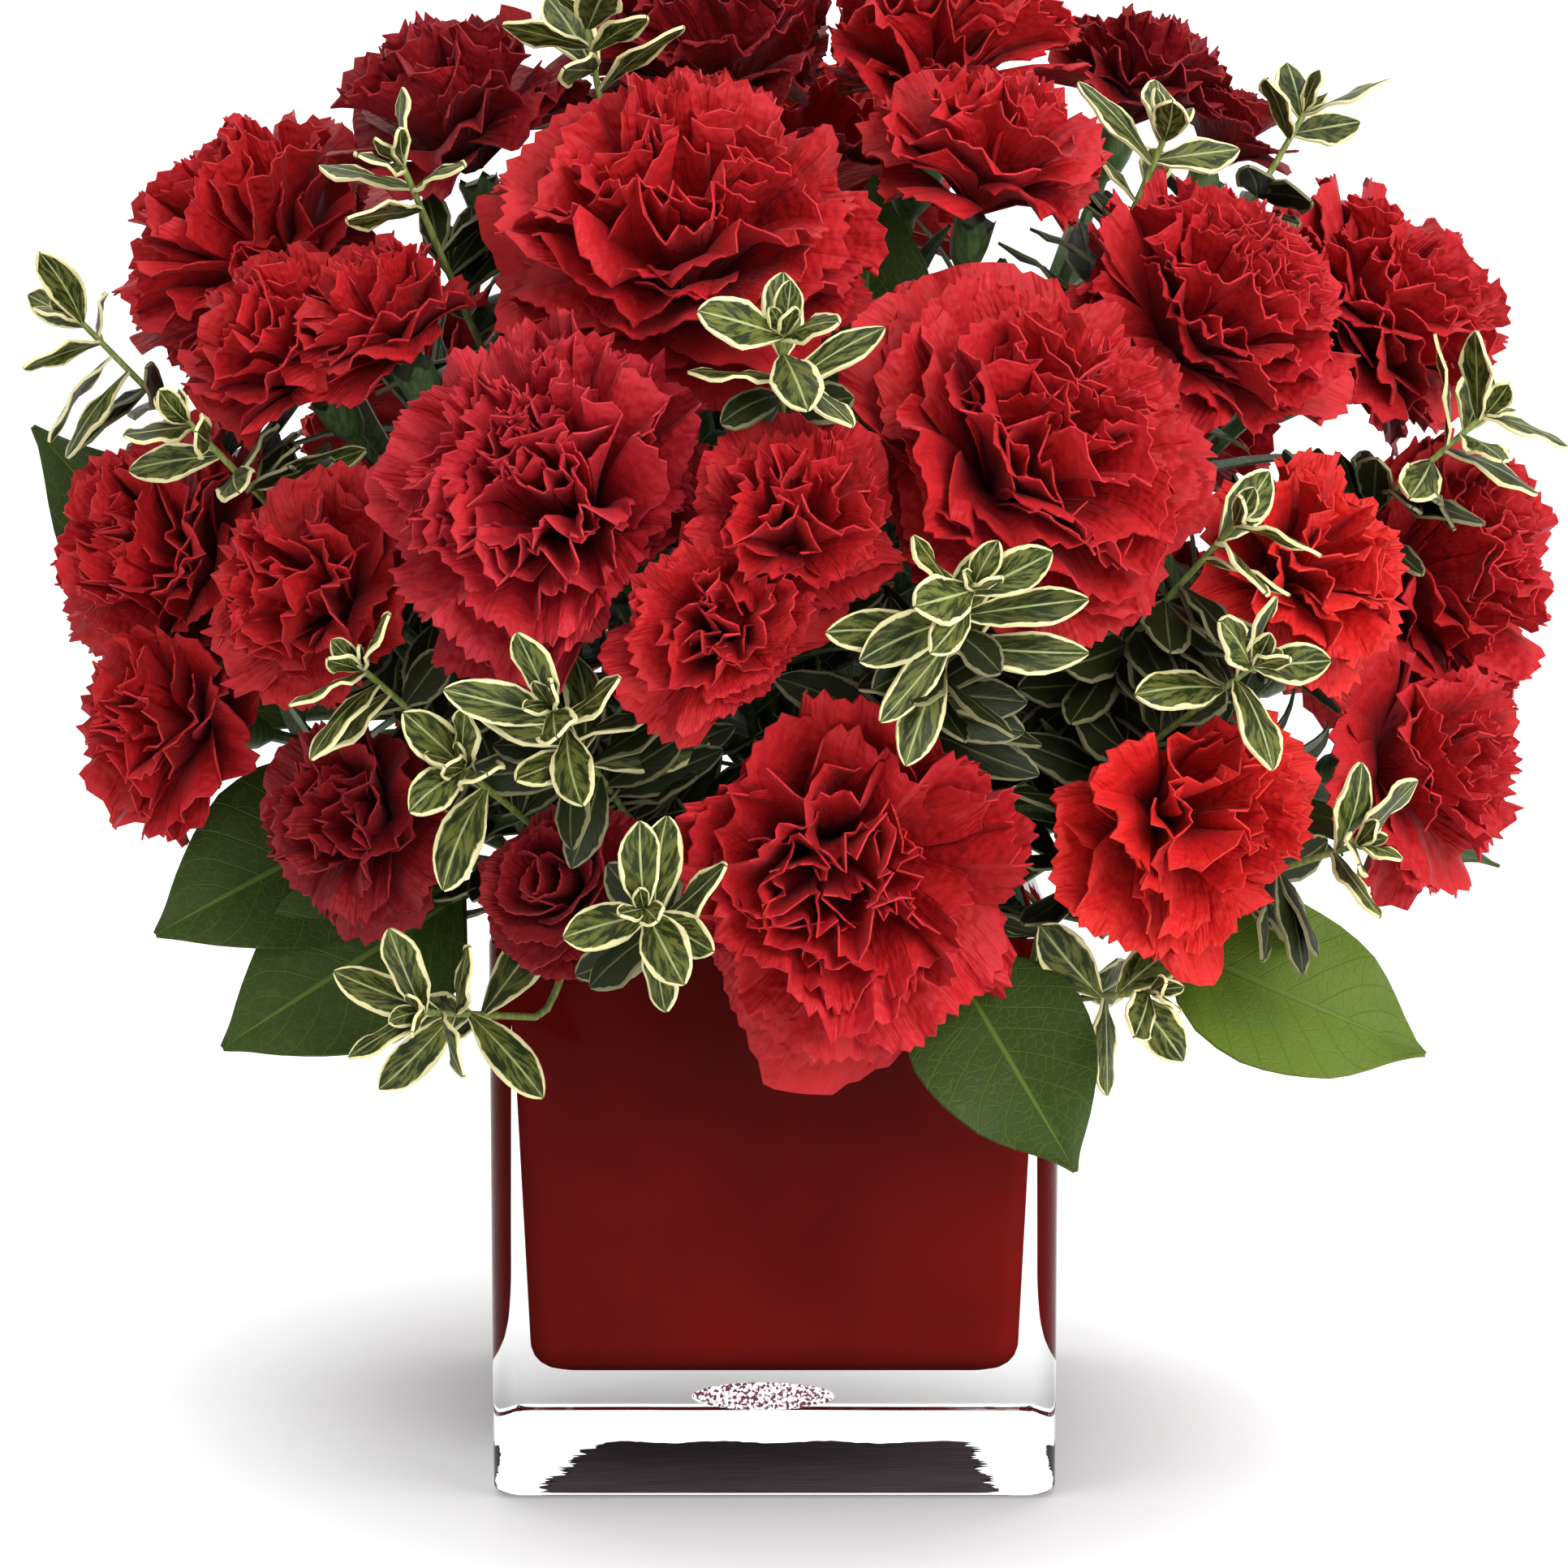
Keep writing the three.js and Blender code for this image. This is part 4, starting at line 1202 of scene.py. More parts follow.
@dataclass(frozen=True)
class Petals:
    """How the petals of one kind of head are cut and crimped; sizes are shares of its radius.

    Pairs go from the innermost petal to the outermost. `beats` is how often a petal waves across
    its width, `widest` the tilt in degrees of the outermost one, `crowding` how soon they open,
    `guard` how far the outermost ones reach past the rest, `lean` how lopsided the head is, and
    `wrap` the least radius that a petal is bent round.
    """

    count: int
    half_width: Pair
    ruffle: Pair
    beats: Pair
    widest: float
    crowding: float = 0.7
    thickness: float = 0.4
    tooth: float = 0.016
    guard: float = 0.0
    lean: float = 0.14
    wrap: Pair = (0.34, 0.7)


@dataclass(frozen=True)
class Wave:
    """One of the waves across a petal: its height, its number of beats as shares of the petal's,
    how far it shifts on its way out, and the power by which it grows towards the edge.
    """

    height: float
    beats: float
    shift: float
    rise: float


HABITS = {
    (Kind.STANDARD, Habit.OPEN): Petals(44, (0.25, 0.52), (0.13, 0.07), (1.5, 1.3), 82, 0.88, tooth=0.018),
    (Kind.STANDARD, Habit.GUARDED): Petals(
        38, (0.25, 0.74), (0.13, 0.065), (1.5, 1.1), 88, 0.72, tooth=0.017, guard=0.06, lean=0.2
    ),
    (Kind.SPRAY, Habit.OPEN): Petals(
        22, (0.32, 0.66), (0.14, 0.1), (1.3, 1.1), 84, 0.76, tooth=0.028, guard=0.04
    ),
    (Kind.SPRAY, Habit.CURLED): Petals(
        17, (0.4, 0.7), (0.03, 0.035), (0.8, 1.0), 66, lean=0.05, wrap=(0.2, 0.5)
    ),
}
WAVES = (Wave(1, 1, 0, 1.6), Wave(0.5, 2.6, 1.5, 3), Wave(0.3, 5.1, 0, 6))


@dataclass
class Bloom:
    """Flower heads that share a node: layers of pinked, ruffled petals round each calyx.

    A `..._spread` is the width of a draw, a `..._luck` its least and most.
    """

    node: str
    heads: list[Head]
    # Where the petals stand round the head and how far they tip over
    golden: float = math.radians(137.508)
    bearing_spread: float = 0.5
    oval: float = 0.7
    tilt_spread: float = 0.24
    lean_tilts: float = 1.2
    least_tilt: float = 0.02
    tilts_over: float = 4
    # How far out they reach
    dome: float = 1.04
    shoulder: float = 0.05
    reach_spread: float = 0.12
    lean_shortens: float = 0.3
    guards_from: float = 0.8
    # The midline from the claw to the tip
    claw: Pair = (0.05, 0.03)
    bends_out: Pair = (0.24, 0.4)
    least_bend: float = 0.02
    bends_up: Pair = (0.16, 0.28)
    # The outline
    width_luck: Pair = (0.85, 1.15)
    claw_width: float = 0.12
    round_corners: float = 0.17
    notch_depth: float = 0.05
    notch_narrow: float = 5
    edge_wave: float = 0.025
    tooth_luck: Pair = (0.4, 1.6)
    # The waves, rolls, folds and curls
    crimp_luck: Pair = (0.7, 1.3)
    beats_luck: Pair = (0.75, 1.25)
    roll_spread: float = 0.24
    fold_spread: float = 0.55
    fold_middle: float = 0.3
    fold_fade: float = 1.3
    curl_spread: float = 0.16
    curl_middle: float = 0.55

    def build(self, sheets: dict[Kind, Sheet], finishes: dict[Tint, Material]) -> None:
        """Makes the bloom.

        Args:
            sheets: the sheet that each kind's petals are cut from.
            finishes: the petal skins.
        """
        parts = []
        for head in self.heads:
            points, tone = self._petals(head, sheets[head.kind])
            parts.append(sheets[head.kind].mesh(f"petals_{head.name}", points, finishes[head.tint], tone))
        bloom = join(f"petals_of_{self.node}", parts)
        finish_piece(bloom, [f"bloom_{self.node}"], PETAL_SHARP)

    def _petals(self, head: Head, sheet: Sheet) -> tuple[Array, Array]:
        """The points of a head's petals in millimetres, and a tone for each petal."""
        cut = HABITS[head.kind, head.habit]
        n = np.arange(cut.count)
        seed = head.index * 61 + n * 7

        def draw(k: float) -> Array:
            """A column of chances, one a petal."""
            return np.asarray(chance(seed + k))[:, None]

        def spread(k: float, by: float, middle: float = 0.5) -> Array:
            """A column of chances about 0, one a petal, `by` wide."""
            return (draw(k) - middle) * by

        # How far out each petal stands, from 0 to 1, and where it stands round the head.
        outward = ((n + 0.5) / cut.count)[:, None] ** cut.crowding
        bearing = n[:, None] * self.golden + spread(0.83, self.bearing_spread)
        # Every head leans to a side of its own, and is a little oval.
        lean = cut.lean * np.cos(bearing - FULL_TURN * luck(head.index + 0.3))
        lean = lean + self.oval * cut.lean * np.cos(2 * bearing + FULL_TURN * luck(head.index + 0.7))
        tilt = np.radians(cut.widest) * outward + spread(0.11, self.tilt_spread)
        tilt = tilt + lean * np.sin(math.pi * outward) * self.lean_tilts
        tilt = np.clip(tilt, self.least_tilt, math.radians(cut.widest + self.tilts_over))
        far = self.dome + self.shoulder * np.sin(tilt * 2) + spread(0.23, self.reach_spread)
        far = far - self.lean_shortens * np.abs(lean) * (1 - outward)
        far = far + cut.guard * (outward > self.guards_from)
        # The petal's midline bends from its claw at the calyx over a middle point to its tip.
        claw_x, claw_z = self.claw
        tip_x, tip_z = far * np.sin(tilt), far * np.cos(tilt)
        mid_x = between(self.bends_out, draw(0.29)) * tip_x + self.least_bend
        mid_z = 0.5 * tip_z + between(self.bends_up, draw(0.31)) * np.sin(tilt) ** 2
        # Its half width and the height, number and places of its waves.
        width = between(cut.half_width, outward) * between(self.width_luck, draw(0.37))
        crimp = between(cut.ruffle, outward) * between(self.crimp_luck, draw(0.41))
        beats = between(cut.beats, outward) * between(self.beats_luck, draw(0.61))
        phases = [draw(k) * 2 * math.pi for k in (0.53, 0.59, 0.63)]
        # It rolls to one side, folds along its middle, wraps round the head, is notched and curls.
        roll = spread(0.67, self.roll_spread)
        fold = (1 - outward) ** self.fold_fade * spread(0.71, self.fold_spread, self.fold_middle)
        wrap = between(cut.wrap, outward)
        notch = self.notch_depth * draw(0.89)
        curl = spread(0.93, self.curl_spread, self.curl_middle)

        def surface(u: Array, v: Array) -> Array:
            """The petals' middle surfaces, in shares of the radius."""
            # The outline: rounded corners, a notch in the middle and a wavy edge.
            dent = notch * np.exp(-((u * self.notch_narrow) ** 2)) * v**6
            e = v * (1 - self.round_corners * np.abs(u) ** 2.8 * v - dent)
            e = e * (1 + self.edge_wave * v**4 * np.sin(4.5 * u + phases[-1]))
            # The midline and its slope.
            x = 2 * e * (1 - e) * mid_x + e**2 * tip_x + (1 - e) ** 2 * claw_x
            z = 2 * e * (1 - e) * mid_z + e**2 * tip_z - (1 - e) ** 2 * claw_z
            slope_x = 2 * (1 - e) * (mid_x - claw_x) + 2 * e * (tip_x - mid_x)
            slope_z = 2 * (1 - e) * (mid_z + claw_z) + 2 * e * (tip_z - mid_z)
            steep = np.sqrt(slope_x**2 + slope_z**2)
            # Across, the petal wraps round the head's axis, with waves that grow towards its edge.
            open_by = np.sin(math.pi / 2 * np.minimum(e, 1.0)) ** 1.25
            wide = width * between((self.claw_width, 1), open_by)
            about = np.maximum(x, wrap)
            swing = wide * u / about
            ruffle = sum(
                w.height * np.sin(beats * w.beats * math.pi * u + phase + w.shift * e) * e**w.rise
                for w, phase in zip(WAVES, phases)
            )
            crease = (np.sqrt(u**2 + 0.05) - 0.22) * e
            lift = crimp * ruffle + roll * u * e**2 - fold * crease + curl * e**4
            out = x - about * (1 - np.cos(swing)) - slope_z / steep * lift * np.cos(swing)
            beside = about * np.sin(swing) - slope_z / steep * lift * np.sin(swing)
            up = z + slope_x / steep * lift
            c, s = np.cos(bearing), np.sin(bearing)
            return np.stack([out * c - beside * s, out * s + beside * c, up], axis=-1)

        points = sheet.thicken(surface, cut.thickness / head.radius)
        points = points + self._pinking(sheet, surface, cut.tooth, draw)
        turn = towards(head.axis)
        flat = points.reshape(-1, 3) @ turn.T * head.radius
        return (head.press(flat) + head.calyx).reshape(points.shape), np.asarray(chance(seed + 0.97))

    def _pinking(self, sheet: Sheet, surface: Callable, tooth: float, draw: Callable) -> Array:
        """Moves every second point of the outer edge in, and the others out, by uneven amounts."""
        u, v = sheet.across[None, :], sheet.along[None, :]
        column = np.round((u + 1) / 2 * sheet.columns)
        edge = v > 1 - 1e-3
        out = surface(u, v) - surface(u, np.maximum(v - 0.05, 0))
        out /= np.maximum(np.linalg.norm(out, axis=-1, keepdims=True), TINY)
        uneven = between(self.tooth_luck, chance(column * 3.7 + draw(0.19) * 91))
        shift = np.where(edge, np.where(column % 2 == 0, 1.0, -1.0) * tooth * uneven, 0.0)
        return out * shift[..., None]


# The stems


@dataclass
class Stems:
    """Carnation stems: bunches that meet in the foam, and sprays that fork above it."""

    plan: Arrangement
    finish: Material
    sheet: Sheet
    # The stalks' radii
    standard: float = 2.2
    spray: float = 1.5
    thinner: float = 0.8
    # The narrow leaves and how a free place is sought for them
    joints: int = 3
    jointed: Pair = (0.3, 0.92)
    turn: float = 1.6
    leaf_length: float = 46
    leaf_growth: Pair = (0.75, 1.15)
    leaf_width: float = 7
    leaf_thickness: float = 0.6
    leaf_curl: Pair = (0.12, 0.32)
    leaf_channel: float = 0.35
    leaf_inset: float = 12
    leaf_room: float = 0.4
    leaf_angle: Pair = (24, 54)
    ways_tried: int = 10
    try_turn: float = 0.6
    # The calyxes: radius and length, and the form from foot to mouth as shares of both
    calyx_size: dict[Kind, Pair] = field(
        default_factory=lambda: {Kind.STANDARD: (7.5, 24.0), Kind.SPRAY: (4.6, 15.0)}
    )
    calyx_form: tuple[Pair, ...] = (
        (0.1, 0.5), (0.25, 0.78), (0.5, 0.92), (0.85, 0.97), (1.0, 1.0),
    )  # fmt: skip
    calyx_sides: int = 20
    neck_sink: float = 0.06
    lobes: int = 5
    lobe_height: float = 0.3
    lobe_drop: float = 0.25
    rib: float = 0.03

    def build(self) -> None:
        """Makes every bunch and spray."""
        for name, members in BUNCHES.items():
            self._bunch(name, [HEADS[m] for m in members])
        for name, members in SPRAYS.items():
            self._spray(name, [HEADS[m] for m in members])

    def _bunch(self, name: str, heads: list[Head]) -> None:
        """Stems of standard carnations with their cut ends together in the foam."""
        exits = [self.plan.exit_direction(h.calyx) for h in heads]
        meeting = HEART + unit(sum(exits)) * self.plan.bunch_depth
        parts = []
        for head, way in zip(heads, exits):
            out = HEART + way * self.plan.foam_reach(way)
            parts += self._head_stem(head, out, unit(out - meeting), meeting)
        finish_piece(join(f"stalks_{name}", parts), [f"stems_{name}"])

    def _spray(self, name: str, heads: list[Head]) -> None:
        """One stem that forks and carries several small heads."""
        root, way, top, reach = self.plan.trunk([h.calyx for h in heads])
        parts = [stem_along([Knot(root, self.spray), Knot(top, self.spray)], self.finish)]
        for i, head in enumerate(heads):
            parts += self._head_stem(head, self.plan.branch_start(way, reach, i), way, None)
        finish_piece(join(f"spray_stalks_{name}", parts), [f"spray_stem_{name}"])

    def _head_stem(self, head: Head, start: Array, way: Array, root: Array | None) -> list[Object]:
        """The stem of one head with its narrow leaves, and its calyx."""
        radius, length = self.calyx_size[head.kind]
        thin = self.standard if head.kind is Kind.STANDARD else self.spray
        foot = head.calyx - head.axis * length
        lip = head.calyx - head.axis * (CLEARANCE + self.neck_sink * head.radius)
        leave, arrive = bent(start, way, foot, head.axis)
        first = thin if root is not None else thin * self.thinner
        knots = [Knot(root, thin)] if root is not None else []
        knots += [Knot(start, first, after=leave), Knot(foot, thin, before=arrive)]
        parts = [stem_along(knots, self.finish), self._calyx(foot, lip, thin, radius)]
        narrow = self._narrow_leaves((start, leave, arrive, foot), head)
        if narrow:
            tones = np.zeros(len(narrow))
            parts.append(self.sheet.mesh("narrow_leaves", np.stack(narrow), self.finish, tones))
        return parts

    def _narrow_leaves(self, bend: Sequence[Array], head: Head) -> list[Array]:
        """Pairs of narrow leaves at the stem's joints, below the bloom.

        Args:
            bend: the Bezier points of the stem.
            head: the bloom that it carries.

        Returns:
            The points of each leaf.
        """
        made = []
        furthest = norm(head.centre - HEART) - self.leaf_inset
        for k in range(2 * self.joints):
            seed = head.index * 9.1 + k * 3.3
            spot, way = on_bend(bend, between(self.jointed, (k // 2 + 0.5) / self.joints))
            side = unit(np.cross(UP, way))
            side = turned(side, way, head.index + (k // 2) * self.turn + (k % 2) * math.pi)
            for tried in range(self.ways_tried):
                angle = math.radians(between(self.leaf_angle, luck(seed + tried)))
                way_out = turned(side, way, self.try_turn * tried)
                along = way * math.cos(angle) + way_out * math.sin(angle)
                length = self.leaf_length * between(self.leaf_growth, luck(seed + 0.5))
                if self.plan.is_free(spot, along * length, self.leaf_room, furthest):
                    made.append(self._narrow_blade(spot, along, way_out, way, length, seed))
                    break
        return made

    def _narrow_blade(
        self, start: Array, along: Array, side: Array, way: Array, length: float, seed: float
    ) -> Array:
        """The points of one narrow, channelled leaf that curls back at its tip."""
        across = unit(np.cross(way, side))
        face = unit(np.cross(along, across))
        half, curl = self.leaf_width / 2, between(self.leaf_curl, luck(seed * 1.9))

        def surface(u: Array, v: Array) -> Array:
            """The leaf's middle surface."""
            # Narrow at its foot, soon at its full width, and drawn out to a point.
            wide = half * np.minimum(1, 0.45 + 3 * v) * np.maximum(1 - v, 0.02) ** 0.6
            lift = self.leaf_channel * np.abs(u) * wide - curl * length * v**3
            spot = start + along * (length * v)[..., None]
            return spot + across * (wide * u)[..., None] + face * lift[..., None]

        return self.sheet.thicken(surface, self.leaf_thickness)[0]

    def _calyx(self, foot: Array, lip: Array, thin: float, radius: float) -> Object:
        """A ribbed green cup that ends in five pointed lobes.

        Args:
            foot: where the stem swells into it.
            lip: the middle of its mouth.
            thin: the stem's radius.
            radius: its own radius at the mouth.

        Returns:
            The cup.
        """
        length = norm(lip - foot)
        deselect()
        bpy.ops.mesh.primitive_cylinder_add(
            vertices=self.calyx_sides, radius=thin * MM, depth=2 * MM, location=(0, 0, -MM)
        )
        obj = bpy.context.object
        bpy.ops.object.transform_apply(location=True)
        select_parts(obj.data.polygons, lambda face: face.normal.z > 0.9)
        bpy.ops.object.mode_set(mode="EDIT")
        low, before = 0.0, thin
        for share, wide in self.calyx_form:
            extrude((0, 0, (share - low) * length * MM))
            widen(wide * radius / before, share * length * MM)
            low, before = share, wide * radius
        bpy.ops.object.mode_set(mode="OBJECT")
        turn = towards(unit(lip - foot))
        for vertex in obj.data.vertices:
            x, y, z = vertex.co
            lobe = math.cos(self.lobes * math.atan2(y, x))
            if z > 0.99 * length * MM:
                z += (self.lobe_height * lobe - self.lobe_drop) * radius * MM
            ribbed = 1 + (self.rib * lobe if z > 0 else 0)
            vertex.co = Vector(turn @ np.array([x * ribbed, y * ribbed, z]) + foot * MM)
        obj.data.materials.append(self.finish)
        return obj


# The leaves


@dataclass
class LeafyShoots:
    """Small-leaved stems: shoots that end in a rosette of cream-edged leaves."""

    plan: Arrangement
    leaf_finish: Material
    stem_finish: Material
    sheet: Sheet
    inner_sheet: Sheet
    # The stem's radius, and the straight end of a shoot
    stem: float = 1.1
    thinner: float = 0.75
    tapered: float = 0.85
    bare: float = 40
    # A leaf
    length: float = 23
    width: float = 9.5
    width_luck: Pair = (0.85, 1.15)
    full_from: float = 15
    thick: float = 0.7
    faces_up: float = 1
    twist: float = 1.5
    fold: float = -0.12
    droop: float = 0.1
    curl: float = 0.34
    bow: float = 0.4
    stalk: float = 0.14
    ripple: float = 0.2
    # The rosette: how many leaves, how far apart, and how they grow from the youngest pair down
    per_leaf: float = 1.8
    fewer: int = 4
    most: int = 12
    step: float = 5
    turn: float = 1.45
    turn_spread: float = 1.3
    full_pair: int = 4
    youngest: float = 0.68
    pair_growth: float = 0.07
    length_spread: float = 0.32
    tones: Pair = (0.1, 1.0)
    # How wide they open, and how a free place is sought for them
    open_angle: float = 40
    open_step: float = 15
    least_open: float = 20
    open_try: float = 4
    lengths_tried: tuple[float, ...] = (1, 0.8, 0.65)
    room: float = 3.4
    # The young leaves at the tip
    young: int = 3
    young_open: float = 0.35
    young_sink: float = 0.6
    young_length: float = 7
    young_growth: float = 2
    # The shaded leaves lower down; `shaded_end` is where they stand on the straight end
    inner_step: float = 4.6
    inner_length: float = 24
    inner_growth: Pair = (0.8, 1.25)
    inner_angle: Pair = (78, 60)
    inner_bare: float = 0.2
    inner_room: float = 0.4
    inner_inset: float = 12
    inner_ways_tried: int = 12
    inner_try_turn: float = 0.5
    inner_try_shorter: float = 0.03
    shaded_end: Triple = (8, 22, 14)

    def build(self) -> None:
        """Makes every leafy stem."""
        for i, (name, shoots) in enumerate(SPRIG_STEMS.items()):
            self._stem(name, shoots, i + 1)

    def _stem(self, name: str, shoots: list[tuple[Triple, int]], seed: float) -> None:
        """One stem, its side shoots and all their leaves."""
        tips = [np.array(tip, float) for tip, _ in shoots]
        root, way, top, reach = self.plan.trunk(tips)
        parts = [stem_along([Knot(root, self.stem), Knot(top, self.stem)], self.stem_finish)]
        blades, tones, inner = [], [], []
        for i, (tip, (_, count)) in enumerate(zip(tips, shoots)):
            axis = from_heart(tip)
            below = tip - axis * self.bare
            start = self.plan.branch_start(way, reach, i)
            leave, arrive = bent(start, way, below, axis)
            slim = self.stem * self.thinner
            end = Knot(tip, slim * self.tapered)
            knots = [Knot(start, slim, after=leave), Knot(below, slim, before=arrive), end]
            parts.append(stem_along(knots, self.stem_finish))
            made = self._rosette(tip, axis, count, seed + i * 0.37)
            blades += made
            tones += [between(self.tones, luck(seed * 3 + i * 17 + k)) for k in range(len(made))]
            # Shaded leaves stand on the bend, and on the straight end up to the rosette.
            bend = (start, leave, arrive, below)
            first, second, last = self.shaded_end
            straight = (below, below + axis * first, tip - axis * second, tip - axis * last)
            furthest = norm(tip - HEART) - self.inner_inset
            inner += self._inner_leaves(bend, self.inner_bare, furthest, seed * 5 + i)
            inner += self._inner_leaves(straight, 0.0, furthest, seed * 7 + i)
        leaves = self.sheet.mesh("leaves", np.stack(blades), self.leaf_finish, np.array(tones))
        # Tone 0 gives these leaves painted shade in the leaf skin.
        shaded = self.inner_sheet.mesh("shaded", np.stack(inner), self.leaf_finish, np.zeros(len(inner)))
        shoot = join(f"shoots_{name}", [leaves, shaded, *parts])
        finish_piece(shoot, [f"sprigs_{name}"], LEAF_SHARP)

    def _inner_leaves(self, bend: Sequence[Array], low: float, furthest: float, seed: float) -> list[Array]:
        """The leaves lower down a shoot, in the shade between the blooms.

        Args:
            bend: the Bezier points of a part of the shoot.
            low: the share of it that stays bare.
            furthest: the most that a leaf may be away from the heart.
            seed: sets its irregularities.

        Returns:
            The points of each leaf.
        """
        made = []
        pairs = int(norm(bend[3] - bend[0]) / self.inner_step)
        for k in range(2 * pairs):
            spot, way = on_bend(bend, low + (1 - low) * (k // 2 + 0.5) / pairs)
            jitter = luck(seed * 11 + k * 5)
            around = (k // 2) * self.turn + (k % 2) * math.pi + jitter
            side = turned(unit(np.cross(UP, way)), way, around)
            grown = self.inner_length * between(self.inner_growth, luck(seed * 7 + k * 3))
            for tried in range(self.inner_ways_tried):
                angle = math.radians(between(self.inner_angle, luck(seed + k + tried * 0.3)))
                side = turned(side, way, self.inner_try_turn * tried)
                along = way * math.cos(angle) + side * math.sin(angle)
                length = grown * (1 - self.inner_try_shorter * tried)
                if self.plan.is_free(spot, along * length, self.inner_room, furthest):
                    leaf = (spot, along, way, side, length, jitter, seed + k)
                    made.append(self._blade(*leaf, self.inner_sheet))
                    break
        return made

    def _rosette(self, tip: Array, axis: Array, count: int, seed: float) -> list[Array]:
        """The leaves of a shoot in pairs along its straight end, and young ones at its tip.

        Args:
            tip: the shoot's end.
            axis: the way it points.
            count: how many leaves the solid has.
            seed: sets its irregularities.

        Returns:
            The points of each leaf.
        """
        across = unit(np.cross(UP, axis))
        made = []
        for k in range(min(round(count * self.per_leaf - self.fewer), self.most)):
            pair = k // 2
            jitter = luck(seed * 13 + k * 7)
            start = tip + axis * (-pair * self.step - (k % 2) - 1)
            around = pair * self.turn + (k % 2) * math.pi + self.turn_spread * (jitter - 0.5) + seed
            side = turned(across, axis, around)
            grown = min(pair, self.full_pair)
            share = self.youngest + self.pair_growth * grown
            length = self.length * (share + self.length_spread * luck(seed * 5 + k * 3))
            opened = self.open_angle + self.open_step * (grown + jitter)
            placed = self._clear_way(start, axis, side, length, opened, tip)
            if placed:
                along, long = placed
                made.append(self._blade(start, along, axis, side, long, jitter, seed + k))
        for k in range(self.young):
            side = turned(across, axis, seed + k * 2.1)
            along = unit(axis + side * self.young_open)
            start = tip - axis * self.young_sink
            length = self.young_length + self.young_growth * k
            made.append(self._blade(start, along, axis, side, length, 0.1, seed + k * 0.7))
        return made

    def _is_clear(self, start: Array, along: Array, length: float, tip: Array) -> bool:
        """Whether a leaf is free and stays nearer to its own shoot's tip than to another's."""
        if not self.plan.is_free(start, along * length, self.room):
            return False
        for share in LEAF_CHECKS:
            point = start + along * share * length
            own = norm(point - tip) + self.width / 2
            others = (t for t in self.plan.tips if not np.array_equal(t, tip))
            if any(norm(point - t) <= own for t in others):
                return False
        return True

    def _clear_way(
        self, start: Array, axis: Array, side: Array, length: float, opened: float, tip: Array
    ) -> tuple[Array, float] | None:
        """The way a leaf can lie and the length it can have there, or None."""
        for share in self.lengths_tried:
            degrees = opened
            while degrees > self.least_open:
                a = math.radians(degrees)
                along = axis * math.cos(a) + side * math.sin(a)
                if self._is_clear(start, along, length * share, tip):
                    return along, length * share
                degrees -= self.open_try
        return None

    def _blade(
        self,
        start: Array,
        along: Array,
        axis: Array,
        side: Array,
        length: float,
        jitter: float,
        seed: float,
        sheet: Sheet | None = None,
    ) -> Array:
        """The points of one small leaf, turned, curled and bowed by its own draws."""
        looks = axis * math.sin(self.faces_up) - side * math.cos(self.faces_up)
        looks = turned(looks, along, self.twist * (luck(seed * 2.3) - 0.5))
        across = unit(np.cross(looks, along))
        face = np.cross(along, across)
        half = self.width * between(self.width_luck, jitter) / 2 * min(1.0, length / self.full_from)
        phase = luck(seed * 1.7) * FULL_TURN
        curl = self.droop + self.curl * (luck(seed * 4.1) - 0.4)
        bow = self.bow * (luck(seed * 3.3) - 0.5) * length

        def surface(u: Array, v: Array) -> Array:
            """The leaf's middle surface."""
            # An oval blade on a short narrow stalk, with ripples along its margins.
            wide = half * np.maximum(np.sin(math.pi * np.clip(v, 0.004, 0.997) ** 1.25), 0.0) ** 0.62
            wide = np.where(v < self.stalk, np.maximum(np.minimum(wide, half * 0.22), half * 0.1), wide)
            ripple = self.ripple * half * u**2 * np.sin(v * 11 + phase + 1.6 * np.sign(u))
            fold = self.fold * (np.sqrt(u**2 + 0.01) - 0.1) * wide
            lift = fold - curl * length * v**2 + ripple * np.sin(math.pi * v)
            spot = start + along * (length * v)[..., None] + across * (bow * v**2)[..., None]
            return spot + across * (wide * u)[..., None] + face * lift[..., None]

        return (sheet or self.sheet).thicken(surface, self.thick)[0]


